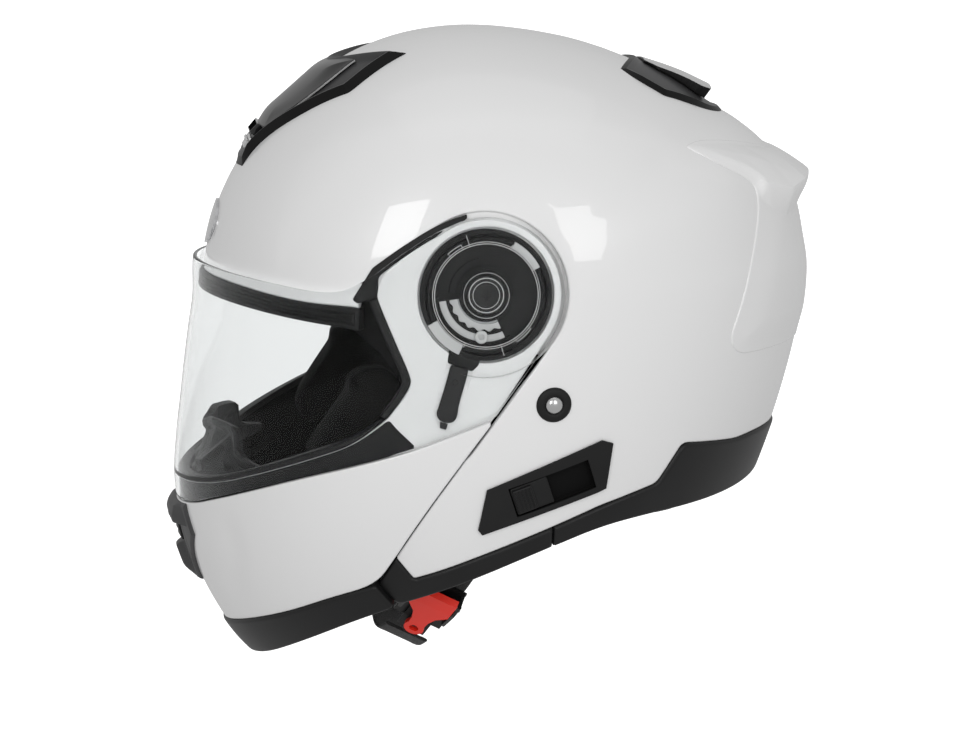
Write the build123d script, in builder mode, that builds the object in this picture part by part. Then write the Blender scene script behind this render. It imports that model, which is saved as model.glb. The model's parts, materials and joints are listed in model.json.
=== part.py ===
from build123d import *
import math
import os

os.makedirs("parts", exist_ok=True)

# ---------------------------------------------------------------- dimensions
# Millimetres, +Z up, helmet as worn. The origin is the centre of the head
# cavity, where the chin-bar axis crosses the plane of symmetry. -Y is the
# front, +X the wearer's left.
HALF_WIDTH = 124.0        # shell half-width below and behind the pivots
HALF_WIDTH_UP = 119.0     # half-width where the chin bar sweeps over the shell
FULLNESS = 0.25           # how much fuller than an ellipse the sections are
RIM_TILT = 19.0           # rim plane against the horizontal, degrees
SHELL_T = 3.5             # outer shell wall
VISOR_T = 1.8             # visor sheet
CHIN_T = 3.2              # chin bar wall
ARM_OUT, ARM_IN = 2.8, 5.6   # chin bar arm: depth under the visor surface
FLANGE_OUT, FLANGE_IN = 4.0, 7.0
POCKET_R = 37.3           # round pocket in the shell at each pivot
POCKET_X = 114.0          # its floor
ARM_R = 34.4              # round end of the chin bar arm
LOBE_R = 35.4             # round end of the visor
AXLE_R = 5.0              # pivot bolt shank
GEAR_R = 29.8             # visor gear plate
CAVITY_A, CAVITY_B = 98.0, 77.0   # head cavity half-length, half-width
CAVITY_Y, CAVITY_TOP = 12.0, 72.0
LINER_T = 9.0             # comfort liner
RIVET = (30.8, -50.5)     # chin-strap rivet, side view (Y, Z)
LEVER_HOLE_R = 2.3        # hanging hole in the buckle lever
TONGUE_TRAVEL = 22.0

# Radius of the silhouette about the pivot axis, in side view, at angles
# counted from the rear (0) over the top (90) and the front (180).
R_SHELL = {
    60: 122.6, 66: 119.9, 70.4: 118.2, 77: 116.4, 83.8: 115.4, 90.5: 114.9,
    97.5: 114.6, 104.4: 114.6, 111.4: 114.6, 120: 114.8, 130: 115.3,
    140: 116.2, 150: 117.8, 159.7: 120.0, 166.5: 121.6, 173.3: 123.0,
    180: 124.6, 190: 128.0, 200: 134.0, 210: 143.0, 220: 155.0, 230: 170.0,
    240: 188.0, 250: 207.0, 258: 218.0, 264: 221.5, 270: 220.0, 280: 213.0,
    290: 205.0, 300: 196.5, 310: 188.0, 320: 179.5, 330: 172.5, 340: 168.6,
    350: 167.6, 0: 167.6, 5: 166.0, 10: 165.0, 15: 163.5, 20: 160.5,
    27.8: 150.5, 33.3: 142.4, 40: 136.8, 51.3: 127.6, 57.5: 123.9,
}
R_FRONT = {
    70.4: 118.2, 77: 116.4, 83.8: 115.4, 90.5: 114.9, 97.5: 114.6, 110: 114.8,
    130: 118.0, 150: 123.0, 160: 125.5, 170: 128.0, 178: 129.8, 186: 131.0,
    192.5: 135.8, 198.7: 142.3, 204.8: 150.8, 210.5: 161.5, 216: 173.5,
    221.5: 184.0, 227: 193.5, 233: 203.5, 239: 212.5, 246: 219.0, 254: 223.0,
    262: 223.0, 270: 220.0, 280: 213.0, 290: 205.0, 300: 196.5, 310: 188.0,
    320: 179.5, 330: 172.5, 340: 168.6, 350: 167.6, 0: 167.6, 5: 166.0,
    10: 165.0, 15: 163.5, 20: 160.5, 27.8: 150.5, 33.3: 142.4, 40: 136.8,
    51.3: 127.6, 57.5: 123.9, 63.8: 120.8,
}


def curve(table):
    """A closed smooth curve through a table of angle and radius."""
    keys = sorted(table)
    x = [k - 360 for k in keys] + keys + [k + 360 for k in keys]
    y = [table[k] for k in keys] * 3
    n = len(x)
    m = [0.0] * n
    for i in range(1, n - 1):
        m[i] = (y[i + 1] - y[i - 1]) / (x[i + 1] - x[i - 1])

    def at(angle):
        angle %= 360.0
        i = 0
        while x[i + 1] < angle:
            i += 1
        h = x[i + 1] - x[i]
        s = (angle - x[i]) / h
        return (
            (2 * s**3 - 3 * s**2 + 1) * y[i]
            + (s**3 - 2 * s**2 + s) * h * m[i]
            + (-2 * s**3 + 3 * s**2) * y[i + 1]
            + (s**3 - s**2) * h * m[i + 1]
        )

    return at


shell_radius = curve(R_SHELL)
front_radius = curve(R_FRONT)


def smooth(t):
    t = min(1.0, max(0.0, t))
    return t * t * (3 - 2 * t)


def bulge(s):
    """Half-width of a section against the distance from its axis, both 0..1."""
    if s >= 1:
        return 0.0
    c = 1 - s * s
    return math.sqrt(c) * (1 + FULLNESS * s * s * c)


def shell_width(y, z, t):
    r = math.hypot(y, z)
    angle = math.degrees(math.atan2(z, y)) % 360
    if angle <= 20:
        w = 0.0
    elif angle < 90:
        w = smooth((angle - 20) / 70)
    elif angle <= 225:
        w = 1.0
    elif angle < 255:
        w = 1 - smooth((angle - 225) / 30)
    else:
        w = 0.0
    a = HALF_WIDTH - (HALF_WIDTH - HALF_WIDTH_UP) * w
    a = 119 + (a - 119) * smooth((r - 15) / 30)
    return (a - t) * bulge(r / (shell_radius(angle) - t))


def front_width(y, z, t):
    """Visor and chin bar: nearly flat round the pivots."""
    r = math.hypot(y, z)
    angle = math.degrees(math.atan2(z, y)) % 360
    radius = 200.0 + (front_radius(angle) - 200.0) * smooth((r - 28) / 32)
    return (HALF_WIDTH - t) * bulge(r / (radius - t))


TILT = math.radians(RIM_TILT)
ND = (math.cos(TILT), math.sin(TILT))      # (Y, Z) along the rim, to the rear
NN = (-math.sin(TILT), math.cos(TILT))     # (Y, Z) square to the rim, up


def rim_plane(h):
    return Plane(
        origin=(0, h * NN[0], h * NN[1]), x_dir=(1, 0, 0), z_dir=(0, NN[0], NN[1])
    )


def ring(h, width, t, count=36):
    """Points of the section at height h over the pivot, square to the rim."""

    def half(d):
        return width(d * ND[0] + h * NN[0], d * ND[1] + h * NN[1], t)

    ends = []
    for way in (-1, 1):
        lo, hi = 0.0, 260.0
        for _ in range(40):
            mid = (lo + hi) / 2
            if half(way * mid) > 0:
                lo = mid
            else:
                hi = mid
        ends.append(way * lo)
    centre = (ends[0] + ends[1]) / 2
    points = []
    for k in range(count):
        phi = 2 * math.pi * k / count
        c, s = math.cos(phi), math.sin(phi)
        lo, hi = 0.0, 260.0
        for _ in range(40):
            mid = (lo + hi) / 2
            w = half(centre + mid * s)
            if w > 0 and abs(mid * c) < w:
                lo = mid
            else:
                hi = mid
        points.append((lo * c, centre + lo * s))
    return points


DROPS = [0.8, 3.0, 7.0, 13.0, 21.0, 31.0, 41.0, 51.0, 61.0, 71.0, 81.0, 91.0,
         101.0, 111.0, 121.0, 131.0, 141.0, 151.0, 163.0, 177.0, 192.0, 208.0,
         224.0, 240.0, 256.0, 274.0]


def body(width, t, top=114.6):
    """The solid inside the helmet's surface moved inwards by t."""
    with BuildPart() as made:
        for drop in DROPS:
            h = top - t - drop * (top - t) / 114.6
            points = [Vector(x, y) for x, y in ring(h, width, t)]
            steps = [k / len(points) for k in range(len(points) + 1)]
            with BuildSketch(rim_plane(h)):
                with BuildLine():
                    add(Edge.make_spline(points, periodic=True, parameters=steps))
                make_face()
        loft()
    return made.part


def side_prism(points, x0=-170.0, x1=170.0):
    """A prism across the helmet, with its outline drawn in side view."""
    with BuildPart() as made:
        with BuildSketch(Plane.YZ.offset(x0)):
            with BuildLine():
                Polyline(*points, close=True)
            make_face()
        extrude(amount=x1 - x0)
    return made.part


def disc(r, x0, x1, y=0.0, z=0.0):
    """A cylinder along X."""
    with BuildPart() as made:
        with BuildSketch(Plane.YZ.offset(x0)):
            with Locations((y, z)):
                Circle(r)
        extrude(amount=x1 - x0)
    return made.part


def block(x0, x1, y0, y1, z0, z1):
    with BuildPart() as made:
        with BuildSketch(Plane.XY.offset(z0)):
            with Locations(((x0 + x1) / 2, (y0 + y1) / 2)):
                Rectangle(x1 - x0, y1 - y0)
        extrude(amount=z1 - z0)
    return made.part


def moved(points, dy, dz):
    return [(y + dy, z + dz) for y, z in points]


def save(part, name):
    part.label = name
    export_step(part, "parts/" + name + ".step")
    print(name, len(part.solids()), round(part.volume), flush=True)


# ------------------------------------------------- side-view outlines (Y, Z)
GAP = [(4.8, -56.3), (-7.3, -72.9), (-20.6, -91.7), (-31.7, -108.7),
       (-40.5, -123.8), (-48.4, -136.8)]
VISOR_LOW = [(4.8, -56.3), (-14.2, -63.4), (-33.0, -70.7), (-59.0, -78.2),
             (-83.4, -85.3), (-105.8, -94.1), (-123.9, -103.1),
             (-132.2, -108.5), (-152.0, -117.0)]
VISOR_TOP = [(-22.6, 28.8), (-32.6, 22.6), (-41.0, 16.9), (-50.0, 9.8),
             (-61.6, 2.3), (-70.4, 0.3), (-80.4, 0.7), (-94.3, 2.4),
             (-108.8, 3.9), (-123.4, 5.4), (-152.0, 7.0)]
EYE_SIDE = [(-50.0, -0.8), (-47.6, -6.8), (-41.8, -20.4), (-34.4, -36.6),
            (-34.2, -41.0), (-38.2, -47.8), (-45.2, -57.0)]
SILL_TOP = [(-60.3, -69.2), (-78.5, -76.2), (-103.5, -86.2), (-126.0, -96.5),
            (-152.0, -104.0)]
BROW_EDGE = [(-152.0, -0.2), (-126.0, -0.4), (-119.7, -0.8), (-108.6, -1.9),
             (-91.5, -4.2), (-78.0, -5.6), (-61.8, -6.0), (-55.8, -6.6)]
BROW_LOW = [(-152.0, -8.6), (-126.0, -8.9), (-117.6, -9.7), (-108.8, -10.6),
            (-91.6, -12.6), (-78.1, -14.1), (-61.8, -15.7), (-55.8, -16.9)]
CHIN_TRIM_TOP = [(-48.4, -136.8), (-69.5, -144.9), (-87.5, -154.5),
                 (-101.0, -161.2), (-112.4, -167.8), (-119.6, -174.2),
                 (-150.0, -196.0)]
CHIN_TRIM_LOW = [(-38.9, -147.8), (-60.1, -157.6), (-82.5, -171.6),
                 (-98.2, -183.8), (-106.0, -189.0), (-130.0, -203.0)]
TRIM_TOP_FRONT = [(-39.9, -123.5), (-31.6, -134.0), (-19.8, -129.9),
                  (-1.6, -122.7), (16.8, -115.5), (32.0, -109.4)]
TRIM_LOW_FRONT = [(-47.6, -137.4), (-38.3, -147.8), (-19.4, -140.4),
                  (-1.2, -133.0), (17.2, -125.2), (32.0, -119.2)]
TRIM_TOP_REAR = [(32.0, -109.4), (54.0, -100.4), (81.7, -91.8),
                 (93.9, -73.4), (123.3, -76.6), (139.4, -75.3),
                 (182.0, -76.0)]
TRIM_LOW_REAR = [(32.0, -119.2), (54.6, -110.8), (76.8, -107.0),
                 (96.0, -105.6), (116.0, -104.0), (136.0, -101.4),
                 (150.0, -97.0), (182.0, -84.0)]

# -------------------------------------------------------- surfaces in layers
CACHE = {}


def shell_at(t):
    if ("s", t) not in CACHE:
        CACHE["s", t] = body(shell_width, t)
    return CACHE["s", t]


def front_at(t):
    if ("f", t) not in CACHE:
        CACHE["f", t] = body(front_width, t)
    return CACHE["f", t]


def between(outer, inner, *within):
    """What lies inside one solid and outside another, within the outlines."""
    with BuildPart() as made:
        add(outer)
        for outline in within:
            add(outline, mode=Mode.INTERSECT)
        add(inner, mode=Mode.SUBTRACT)
    return made.part


def joined(*parts):
    with BuildPart() as made:
        for part in parts:
            add(part)
    return made.part


def less(part, *tools):
    with BuildPart() as made:
        add(part)
        for tool in tools:
            add(tool, mode=Mode.SUBTRACT)
    return made.part


def common(part, *others):
    with BuildPart() as made:
        add(part)
        for other in others:
            add(other, mode=Mode.INTERSECT)
    return made.part


def flipped(part):
    """The mirror image on the wearer's other side."""
    with BuildPart() as made:
        add(mirror(part, about=Plane.YZ))
    return made.part


def largest(part, count=1):
    """Drops the crumbs that a cut leaves behind."""
    found = sorted(part.solids(), key=lambda s: -s.volume)
    with BuildPart() as made:
        for one in found[:count]:
            add(one)
    return made.part


LEFT = block(0.0, 170.0, -250.0, 250.0, -250.0, 250.0)
SKIN = shell_at(-0.05)


# ---------------------------------------------------------------- head space
def cavity(grow):
    """The space for the head, grown outwards."""
    with BuildPart() as made:
        top = CAVITY_TOP + grow
        for f in (-1.9, -1.0, -0.45, 0.0, 0.30, 0.55, 0.75, 0.89, 0.97, 1.0):
            k = math.sqrt(max(0.0, 1 - max(0.0, f) ** 2.3))
            k = max(k, 0.10)
            z = -22.0 + f * (top + 22.0)
            with BuildSketch(Plane.XY.offset(z)):
                with Locations((0, CAVITY_Y)):
                    Ellipse((CAVITY_B + grow) * k, (CAVITY_A + grow) * k)
        loft()
    return made.part


CAVITY_0 = cavity(0.0)
CAVITY_9 = cavity(LINER_T)

# --------------------------------------------------------------- outer shell
# The shell stops at the brow, behind the chin bar's gap and at the trim.
SHELL_SIDE = (
    BROW_EDGE
    + [(-50.5, -13.0), (-45.0, -24.0), (-37.0, -34.0), (-31.0, -46.0), (-26.0, -58.0),
       (-16.0, -66.5), (-7.0, -71.0)]
    + moved(GAP[1:5], 0.6, 0.3)
    + TRIM_TOP_FRONT[1:]
    + TRIM_TOP_REAR[1:]
    + [(182.0, 160.0), (-152.0, 160.0)]
)
# Zone in front of the pivot where the chin bar's arm lies over the shell.
ARM_ZONE = [(-49.5, 1.0), (-56.0, -3.2), (-58.5, -14.0), (-64.0, -46.0), (-64.0, -91.5), (-33.0, -82.8),
            (-9.5, -76.4), (-6.6, -73.3), (5.4, -56.6), (30.3, -21.6),
            (0.0, 0.0)]
PAD_ZONE = [(-34.0, -14.0), (-60.0, -40.0), (-60.0, -80.0), (-9.5, -80.0),
            (0.0, -74.0), (12.0, -58.0), (24.0, -45.0), (36.0, -31.0),
            (20.0, 10.0)]
FLANGE_SIDE = [(16.0, -70.5), (-9.5, -77.2), (-33.0, -83.6), (-38.0, -92.0),
               (-47.0, -108.5), (-54.5, -121.0), (-58.0, -129.0),
               (-49.5, -136.6), (-39.9, -123.5), (-31.6, -134.0),
               (-19.8, -129.9), (-8.0, -125.3)]
SHELL_PRISM = side_prism(SHELL_SIDE)
wall = between(shell_at(0.0), shell_at(SHELL_T), SHELL_PRISM)
print("wall", wall.is_valid, flush=True)
boss = common(disc(POCKET_R + 3.5, 110.2, 130.0), shell_at(1.2), SHELL_PRISM)
pad = between(front_at(4.6), front_at(10.8), side_prism(PAD_ZONE), SHELL_PRISM)
flange = between(front_at(1.6), front_at(FLANGE_IN), side_prism(FLANGE_SIDE))
over = less(
    side_prism([(-6.7, -66.0)] + moved(GAP[1:], 0.6, 0.3)
               + [(-60.0, -150.0), (-80.0, -130.0), (-80.0, -66.0)]),
    front_at(FLANGE_OUT),
)
arm_cut = less(side_prism(ARM_ZONE), front_at(7.6))
shell = joined(wall, boss, flipped(boss))
print("with bosses", len(shell.solids()), flush=True)
shell = joined(shell, pad)
print("with pad", len(shell.solids()), flush=True)
shell = joined(shell, flange)
print("with flange", len(shell.solids()), flush=True)
cuts = [over, arm_cut]
for side in (1, -1):
    for x0, x1, r, y, z in (
        (POCKET_X, 140.0, POCKET_R, 0, 0),
        (100.0, 130.0, AXLE_R + 0.05, 0, 0),
        (100.0, 140.0, 2.55, *RIVET),
    ):
        cuts.append(disc(r, min(side * x0, side * x1), max(side * x0, side * x1), y, z))
shell = less(shell, *cuts)

# Slider pocket of the inner sun shield, low on the left side.
TRACK_Y, TRACK_Z = 31.0, -90.0
TRACK_X = shell_width(TRACK_Y, TRACK_Z, 0.0)
back = shell_width(TRACK_Y + 12 * ND[0], TRACK_Z + 12 * ND[1], 0.0)
front = shell_width(TRACK_Y - 12 * ND[0], TRACK_Z - 12 * ND[1], 0.0)
above = shell_width(TRACK_Y + 6 * NN[0], TRACK_Z + 6 * NN[1], 0.0)
below = shell_width(TRACK_Y - 6 * NN[0], TRACK_Z - 6 * NN[1], 0.0)
run = Vector(back - front, 24 * ND[0], 24 * ND[1]).normalized()
rise = Vector(above - below, 12 * NN[0], 12 * NN[1])
out = run.cross(rise).normalized()
if out.X < 0:
    out = out * -1
TRACK_PLANE = Plane(origin=(TRACK_X, TRACK_Y, TRACK_Z), x_dir=run, z_dir=out)
print("sun shield slider runs along", run, "at", TRACK_X, flush=True)


def track_block(x0, x1, y0, y1, z0, z1):
    with BuildPart() as made:
        with BuildSketch(TRACK_PLANE.offset(z0)):
            with Locations(((x0 + x1) / 2, (y0 + y1) / 2)):
                Rectangle(x1 - x0, y1 - y0)
        extrude(amount=z1 - z0)
    return made.part


pocket = track_block(-19.5, 19.5, -7.5, 7.5, -1.8, 12.0)
shell = largest(less(shell, pocket))
save(shell, "outer_shell")
save(track_block(-19.0, -1.0, -6.9, 6.9, -1.7, 2.6), "sun_visor_slider")
TRACK_SIDE = [(0.7, -89.8), (53.7, -68.1), (59.0, -69.9), (56.5, -91.6),
              (52.7, -93.3), (-1.0, -111.7), (-2.9, -109.2)]
track = between(shell_at(-1.2), SKIN, side_prism(TRACK_SIDE, 0.0, 170.0))
save(largest(less(track, pocket)), "sun_visor_track")

# ------------------------------------------------------------ rivets, badge
washers, rivets = [], []
rivet_x = shell_width(*RIVET, 0.0)
for side in (1, -1):
    a, b = sorted((side * (rivet_x - 0.3), side * (rivet_x + 1.6)))
    washers.append(less(disc(8.2, a, b, *RIVET), disc(2.55, a - 1, b + 1, *RIVET), SKIN))
    with BuildPart() as rivet:
        with BuildSketch(Plane.YZ.offset(side * 106.4)):
            with Locations(RIVET):
                Circle(2.5)
        extrude(amount=side * (rivet_x + 1.7 - 106.4))
        with BuildSketch(Plane.YZ.offset(side * (rivet_x + 1.62))):
            with Locations(RIVET):
                Circle(4.4)
        extrude(amount=side * 1.7, taper=25)
        with BuildSketch(Plane.YZ.offset(side * 105.0)):
            with Locations(RIVET):
                Circle(4.6)
        extrude(amount=side * 1.4)
    rivets.append(rivet.part)
save(joined(*washers), "rivet_washers")
save(joined(*rivets), "rivets")
with BuildPart() as badge_area:
    with BuildSketch(Plane.XZ.offset(90.0)):
        with Locations((0, 22.0)):
            Ellipse(19.0, 10.5)
    extrude(amount=60.0)
save(between(shell_at(-1.3), SKIN, badge_area.part), "badge_plate")

# -------------------------------------------------------------------- trims
TRIM_OUT, TRIM_IN = shell_at(-1.2), shell_at(9.0)
front_trim = between(
    TRIM_OUT, TRIM_IN,
    side_prism(TRIM_TOP_FRONT + TRIM_LOW_FRONT[::-1], 0.0, 170.0),
)
save(front_trim, "base_trim_front_left")
save(flipped(front_trim), "base_trim_front_right")
REAR = TRIM_TOP_REAR + TRIM_LOW_REAR[::-1]
save(between(TRIM_OUT, TRIM_IN, side_prism(REAR)), "base_trim_rear")
gasket = between(shell_at(-1.5), shell_at(5.5), side_prism(BROW_EDGE + BROW_LOW[::-1]))
save(largest(gasket), "brow_gasket")

# -------------------------------------------------------------------- vents
def facing(angle):
    """A plane square to the radius at this side-view angle, past the shell."""
    a = math.radians(angle)
    return Plane(
        origin=(0, 0, 0), x_dir=(1, 0, 0), z_dir=(0, math.cos(a), math.sin(a))
    )


def plan_prism(angle, points):
    """A prism towards the shell; its outline is (X, distance to the rear)."""
    plane = facing(angle)
    sign = 1 if plane.y_dir.Y > 0 else -1
    outline = [(x, sign * v) for x, v in points]
    outline += [(-x, v) for x, v in reversed(outline) if x]
    with BuildPart() as made:
        with BuildSketch(plane.offset(40)):
            with BuildLine():
                Polyline(*outline, close=True)
            make_face()
        extrude(amount=150)
    return made.part


VENT_PLAN = [(0, -42.0), (20.8, -39.7), (22.1, -29.9), (30.8, -17.3),
             (40.9, -3.8), (48.1, 8.8), (53.2, 20.7), (52.3, 25.2),
             (48.5, 38.0), (42.0, 52.5), (20.0, 33.0), (0, 27.0)]
VENT_SLIDE = [(0, -21.0), (8.1, -15.5), (23.6, -5.2), (28.5, 6.9),
              (32.5, 20.0), (34.0, 37.0), (14.0, 29.5), (0, 25.5)]
VENT_GROOVE = [(0, -16.0), (6.0, -12.0), (18.0, -2.0), (21.0, 14.0), (0, 19.0)]
vent = between(shell_at(-4.2), SKIN, plan_prism(135.0, VENT_PLAN))
save(largest(less(vent, plan_prism(135.0, VENT_GROOVE))), "forehead_vent_base")
slide = between(shell_at(-6.6), shell_at(-4.8), plan_prism(135.0, VENT_SLIDE))
save(largest(slide), "forehead_vent_slider")
REAR_PLAN = [(0, 22.0), (20.0, 18.5), (39.7, 14.2), (47.1, 24.1), (50.0, 37.3),
             (41.5, 51.1), (25.9, 67.3), (14.3, 72.0), (0, 73.0)]
REAR_FLAP = [(0, 27.5), (16.0, 27.0), (24.0, 34.0), (22.0, 54.0), (14.0, 60.0),
             (0, 60.5)]
vent = between(shell_at(-4.0), SKIN, plan_prism(60.0, REAR_PLAN))
save(largest(vent), "rear_vent_base")
flap = between(shell_at(-7.0), shell_at(-5.2), plan_prism(60.0, REAR_FLAP))
save(largest(flap), "rear_vent_flap")

# ------------------------------------------------------------------ spoiler
SPOILER_SIDE = [(99.0, 66.0), (113.6, 53.4), (127.0, 47.0), (133.0, 41.0),
                (132.0, 28.0), (127.0, 8.0), (121.0, -12.7), (115.3, -27.0),
                (122.0, -34.0), (184.0, -34.0), (184.0, 30.0), (184.0, 64.0),
                (120.0, 74.0)]
LIP = [(148.0, 66.0), (158.0, 55.5), (169.5, 46.0), (166.0, 41.5),
       (158.0, 38.0), (146.0, 46.0), (140.0, 60.0)]
lip = less(side_prism(LIP, -40.0, 40.0), shell_at(-1.0))
panel = between(shell_at(-2.6), SKIN, side_prism(SPOILER_SIDE))
spoiler = largest(joined(panel, common(lip, side_prism(
    [(120, 0), (170.2, 0), (170.2, 62), (120, 90)]))))
save(spoiler, "rear_spoiler")

# ---------------------------------------------------------------- sun shield
# A skin of revolution about the pivot axis, so that it drops along itself.
SUN_OUT = [(107.0, 0.0), (107.0, 14.0), (105.2, 40.0), (100.3, 60.0),
           (86.3, 78.0), (62.0, 94.0), (31.0, 105.6), (0.0, 109.0)]
SUN_IN = [(105.0, 0.0), (105.0, 13.6), (103.2, 39.6), (98.6, 58.8),
          (85.0, 76.4), (61.2, 92.1), (30.6, 103.7), (0.0, 107.0)]
SUN_BACK = [(103.6, 0.0), (103.6, 13.0), (101.8, 39.0), (97.0, 57.6),
            (83.4, 75.0), (60.0, 90.4), (30.0, 102.0), (0.0, 105.4)]


def turned(points):
    """The solid of revolution about X inside a profile of (x, radius)."""
    outline = [(x, r) for x, r in points]
    outline += [(-x, r) for x, r in reversed(points) if x]
    with BuildPart() as made:
        with BuildSketch(Plane.XY):
            with BuildLine():
                Spline(*outline[1:-1])
                Polyline(outline[1], outline[0], outline[-1], outline[-2])
            make_face()
        revolve(axis=Axis.X)
    return made.part


def wedge(a0, a1, hub=0.0):
    points = [(0.0, 0.0)]
    for k in range(9):
        a = math.radians(a0 + (a1 - a0) * k / 8)
        points.append((170 * math.cos(a), 170 * math.sin(a)))
    return side_prism(points)


with BuildPart() as nose_gap:
    with BuildSketch(Plane.XZ.offset(60.0)):
        with Locations((0, -1.0)):
            Ellipse(19.0, 17.0)
    extrude(amount=80.0)
sun = less(turned(SUN_OUT), turned(SUN_IN))
sun = joined(
    common(sun, joined(wedge(100.0, 172.0), disc(13.0, -170, 170))),
)
sun = less(sun, disc(3.06, -170, 170), nose_gap.part)
save(largest(sun), "sun_visor")
pivots = []
for side in (1, -1):
    with BuildPart() as pin:
        with BuildSketch(Plane.YZ.offset(side * 98.6)):
            Circle(9.0)
        extrude(amount=side * 4.6)
        with BuildSketch(Plane.YZ.offset(side * 98.6)):
            Circle(3.0)
        extrude(amount=side * 8.6)
    pivots.append(pin.part)
save(joined(*pivots), "sun_visor_pivots")

# ---------------------------------------------------------------- pivot bolts
bolts, nuts = [], []
for side in (1, -1):
    with BuildPart() as bolt:
        with BuildSketch(Plane.YZ.offset(side * 107.7)):
            Circle(AXLE_R - 0.03)
        extrude(amount=side * 12.3)
        with BuildSketch(Plane.YZ.offset(side * 119.9)):
            Circle(8.3)
            RegularPolygon(3.0, 6, mode=Mode.SUBTRACT)
        extrude(amount=side * 1.3)
    bolts.append(bolt.part)
    with BuildPart() as nut:
        with BuildSketch(Plane.YZ.offset(side * 107.7)):
            RegularPolygon(9.5, 6)
            Circle(AXLE_R + 0.02, mode=Mode.SUBTRACT)
        extrude(amount=side * 2.45)
    nuts.append(nut.part)
save(joined(*bolts), "pivot_bolts")
save(joined(*nuts), "pivot_nuts")

# ------------------------------------------------------- chin strap, buckle
# The strap hangs in one slanted plane; local x is X, local y runs down it.
US = (-0.447, -0.8945)
STRAP_PLANE = Plane(
    origin=(0, RIVET[0], RIVET[1]), x_dir=(1, 0, 0), z_dir=(0, 0.8945, -0.447)
)
STRAP_W, STRAP_T = 22.0, 1.8
PATH_LEFT = [(109.0, -9.0), (108.4, 8.0), (106.0, 28.0), (102.5, 46.0),
             (97.5, 65.0), (91.0, 82.0), (83.0, 97.0), (74.2, 109.4),
             (67.0, 116.8)]
PATH_RIGHT = [(44.0, 145.4), (34.0, 150.0), (21.0, 153.0), (5.0, 153.8),
              (-12.0, 152.4), (-28.0, 148.0), (-44.0, 140.0), (-58.0, 129.0),
              (-70.0, 115.5), (-80.0, 101.0), (-89.0, 85.0), (-96.5, 68.0),
              (-102.0, 48.0), (-106.0, 28.0), (-108.4, 8.0), (-109.0, -9.0)]

PATH_LEFT, PATH_RIGHT = (
    [(x, s - 8.5 * smooth((s - 30.0) / 70.0)) for x, s in path]
    for path in (PATH_LEFT, PATH_RIGHT)
)


def ribbon(path, thick, width):
    """A flat band along a path in the strap plane."""
    left, right = [], []
    for i, (x, y) in enumerate(path):
        x0, y0 = path[max(0, i - 1)]
        x1, y1 = path[min(len(path) - 1, i + 1)]
        n = math.hypot(x1 - x0, y1 - y0)
        nx, ny = -(y1 - y0) / n, (x1 - x0) / n
        left.append((x + nx * thick / 2, y + ny * thick / 2))
        right.append((x - nx * thick / 2, y - ny * thick / 2))
    with BuildPart() as made:
        with BuildSketch(STRAP_PLANE.offset(-width / 2)):
            with BuildLine():
                Polyline(*left, *reversed(right), close=True)
            make_face()
        extrude(amount=width)
    return made.part


shank = [disc(2.6, -130, 130, *RIVET)]
save(less(ribbon(PATH_LEFT, STRAP_T, STRAP_W), *shank), "strap_left")
save(less(ribbon(PATH_RIGHT, STRAP_T, STRAP_W), *shank), "strap_right")

# Ratchet buckle. Along the strap TT, outwards NO, across it the plane's z.
BX, BY = 63.0, 112.5
TT, NO = (-0.70, 0.714), (0.714, 0.70)


def at_buckle(points):
    return [(BX + a * TT[0] + b * NO[0], BY + a * TT[1] + b * NO[1])
            for a, b in points]


def buckle_prism(points, w0, w1):
    with BuildPart() as made:
        with BuildSketch(STRAP_PLANE.offset(w0)):
            with BuildLine():
                Polyline(*at_buckle(points), close=True)
            make_face()
        extrude(amount=w1 - w0)
    return made.part


base_plate = buckle_prism([(-15, 1.1), (19, 1.1), (19, 2.6), (-15, 2.6)], -12.2, 12.2)
cheek = [(-13, 1.1), (13, 1.1), (11, 6.0), (-4, 9.2), (-12, 9.2)]
frame = joined(
    base_plate, buckle_prism(cheek, 10.7, 12.2), buckle_prism(cheek, -12.2, -10.7)
)
PIN_AT = at_buckle([(-8.5, 7.0)])[0]
with BuildPart() as pin_hole:
    with BuildSketch(STRAP_PLANE.offset(-20)):
        with Locations(PIN_AT):
            Circle(1.53)
    extrude(amount=40)
with BuildPart() as buckle_pin:
    with BuildSketch(STRAP_PLANE.offset(-12.9)):
        with Locations(PIN_AT):
            Circle(1.5)
    extrude(amount=25.8)
save(less(frame, pin_hole.part), "buckle_frame")
save(buckle_pin.part, "buckle_pin")
lever = buckle_prism(
    [(-13, 6.2), (-10, 5.6), (-2, 6.0), (20, 6.0), (25, 6.6), (25, 8.6),
     (14, 8.6), (-4, 9.4), (-12, 9.4)], -10.2, 10.2)
LEVER_TIP = at_buckle([(18.5, 0)])[0]
with BuildPart() as lever_plan:
    with BuildSketch(Plane(
        origin=STRAP_PLANE.from_local_coords((*LEVER_TIP, 0)),
        x_dir=STRAP_PLANE.from_local_coords((TT[0], TT[1], 0)) - STRAP_PLANE.origin,
        z_dir=STRAP_PLANE.from_local_coords((NO[0], NO[1], 0)) - STRAP_PLANE.origin,
    )):
        Circle(4.9)
        with BuildLine():
            Polyline((-33, -10.2), (-19, -10.2), (-13.5, -5.8), (-8, -4.2),
                     (-1.5, -3.9), (-1.5, 3.9), (-8, 4.2), (-13.5, 5.8),
                     (-19, 10.2), (-33, 10.2), close=True)
        make_face()
    extrude(amount=20, both=True)
lever = largest(common(lever, lever_plan.part))
N_PLANE = Plane(
    origin=STRAP_PLANE.from_local_coords((*at_buckle([(18.5, 0)])[0], 0)),
    z_dir=STRAP_PLANE.from_local_coords((NO[0], NO[1], 0)) - STRAP_PLANE.origin,
)
with BuildPart() as hole:
    with BuildSketch(N_PLANE):
        Circle(LEVER_HOLE_R)
    extrude(amount=14)
save(less(lever, pin_hole.part, hole.part), "buckle_lever")
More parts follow.
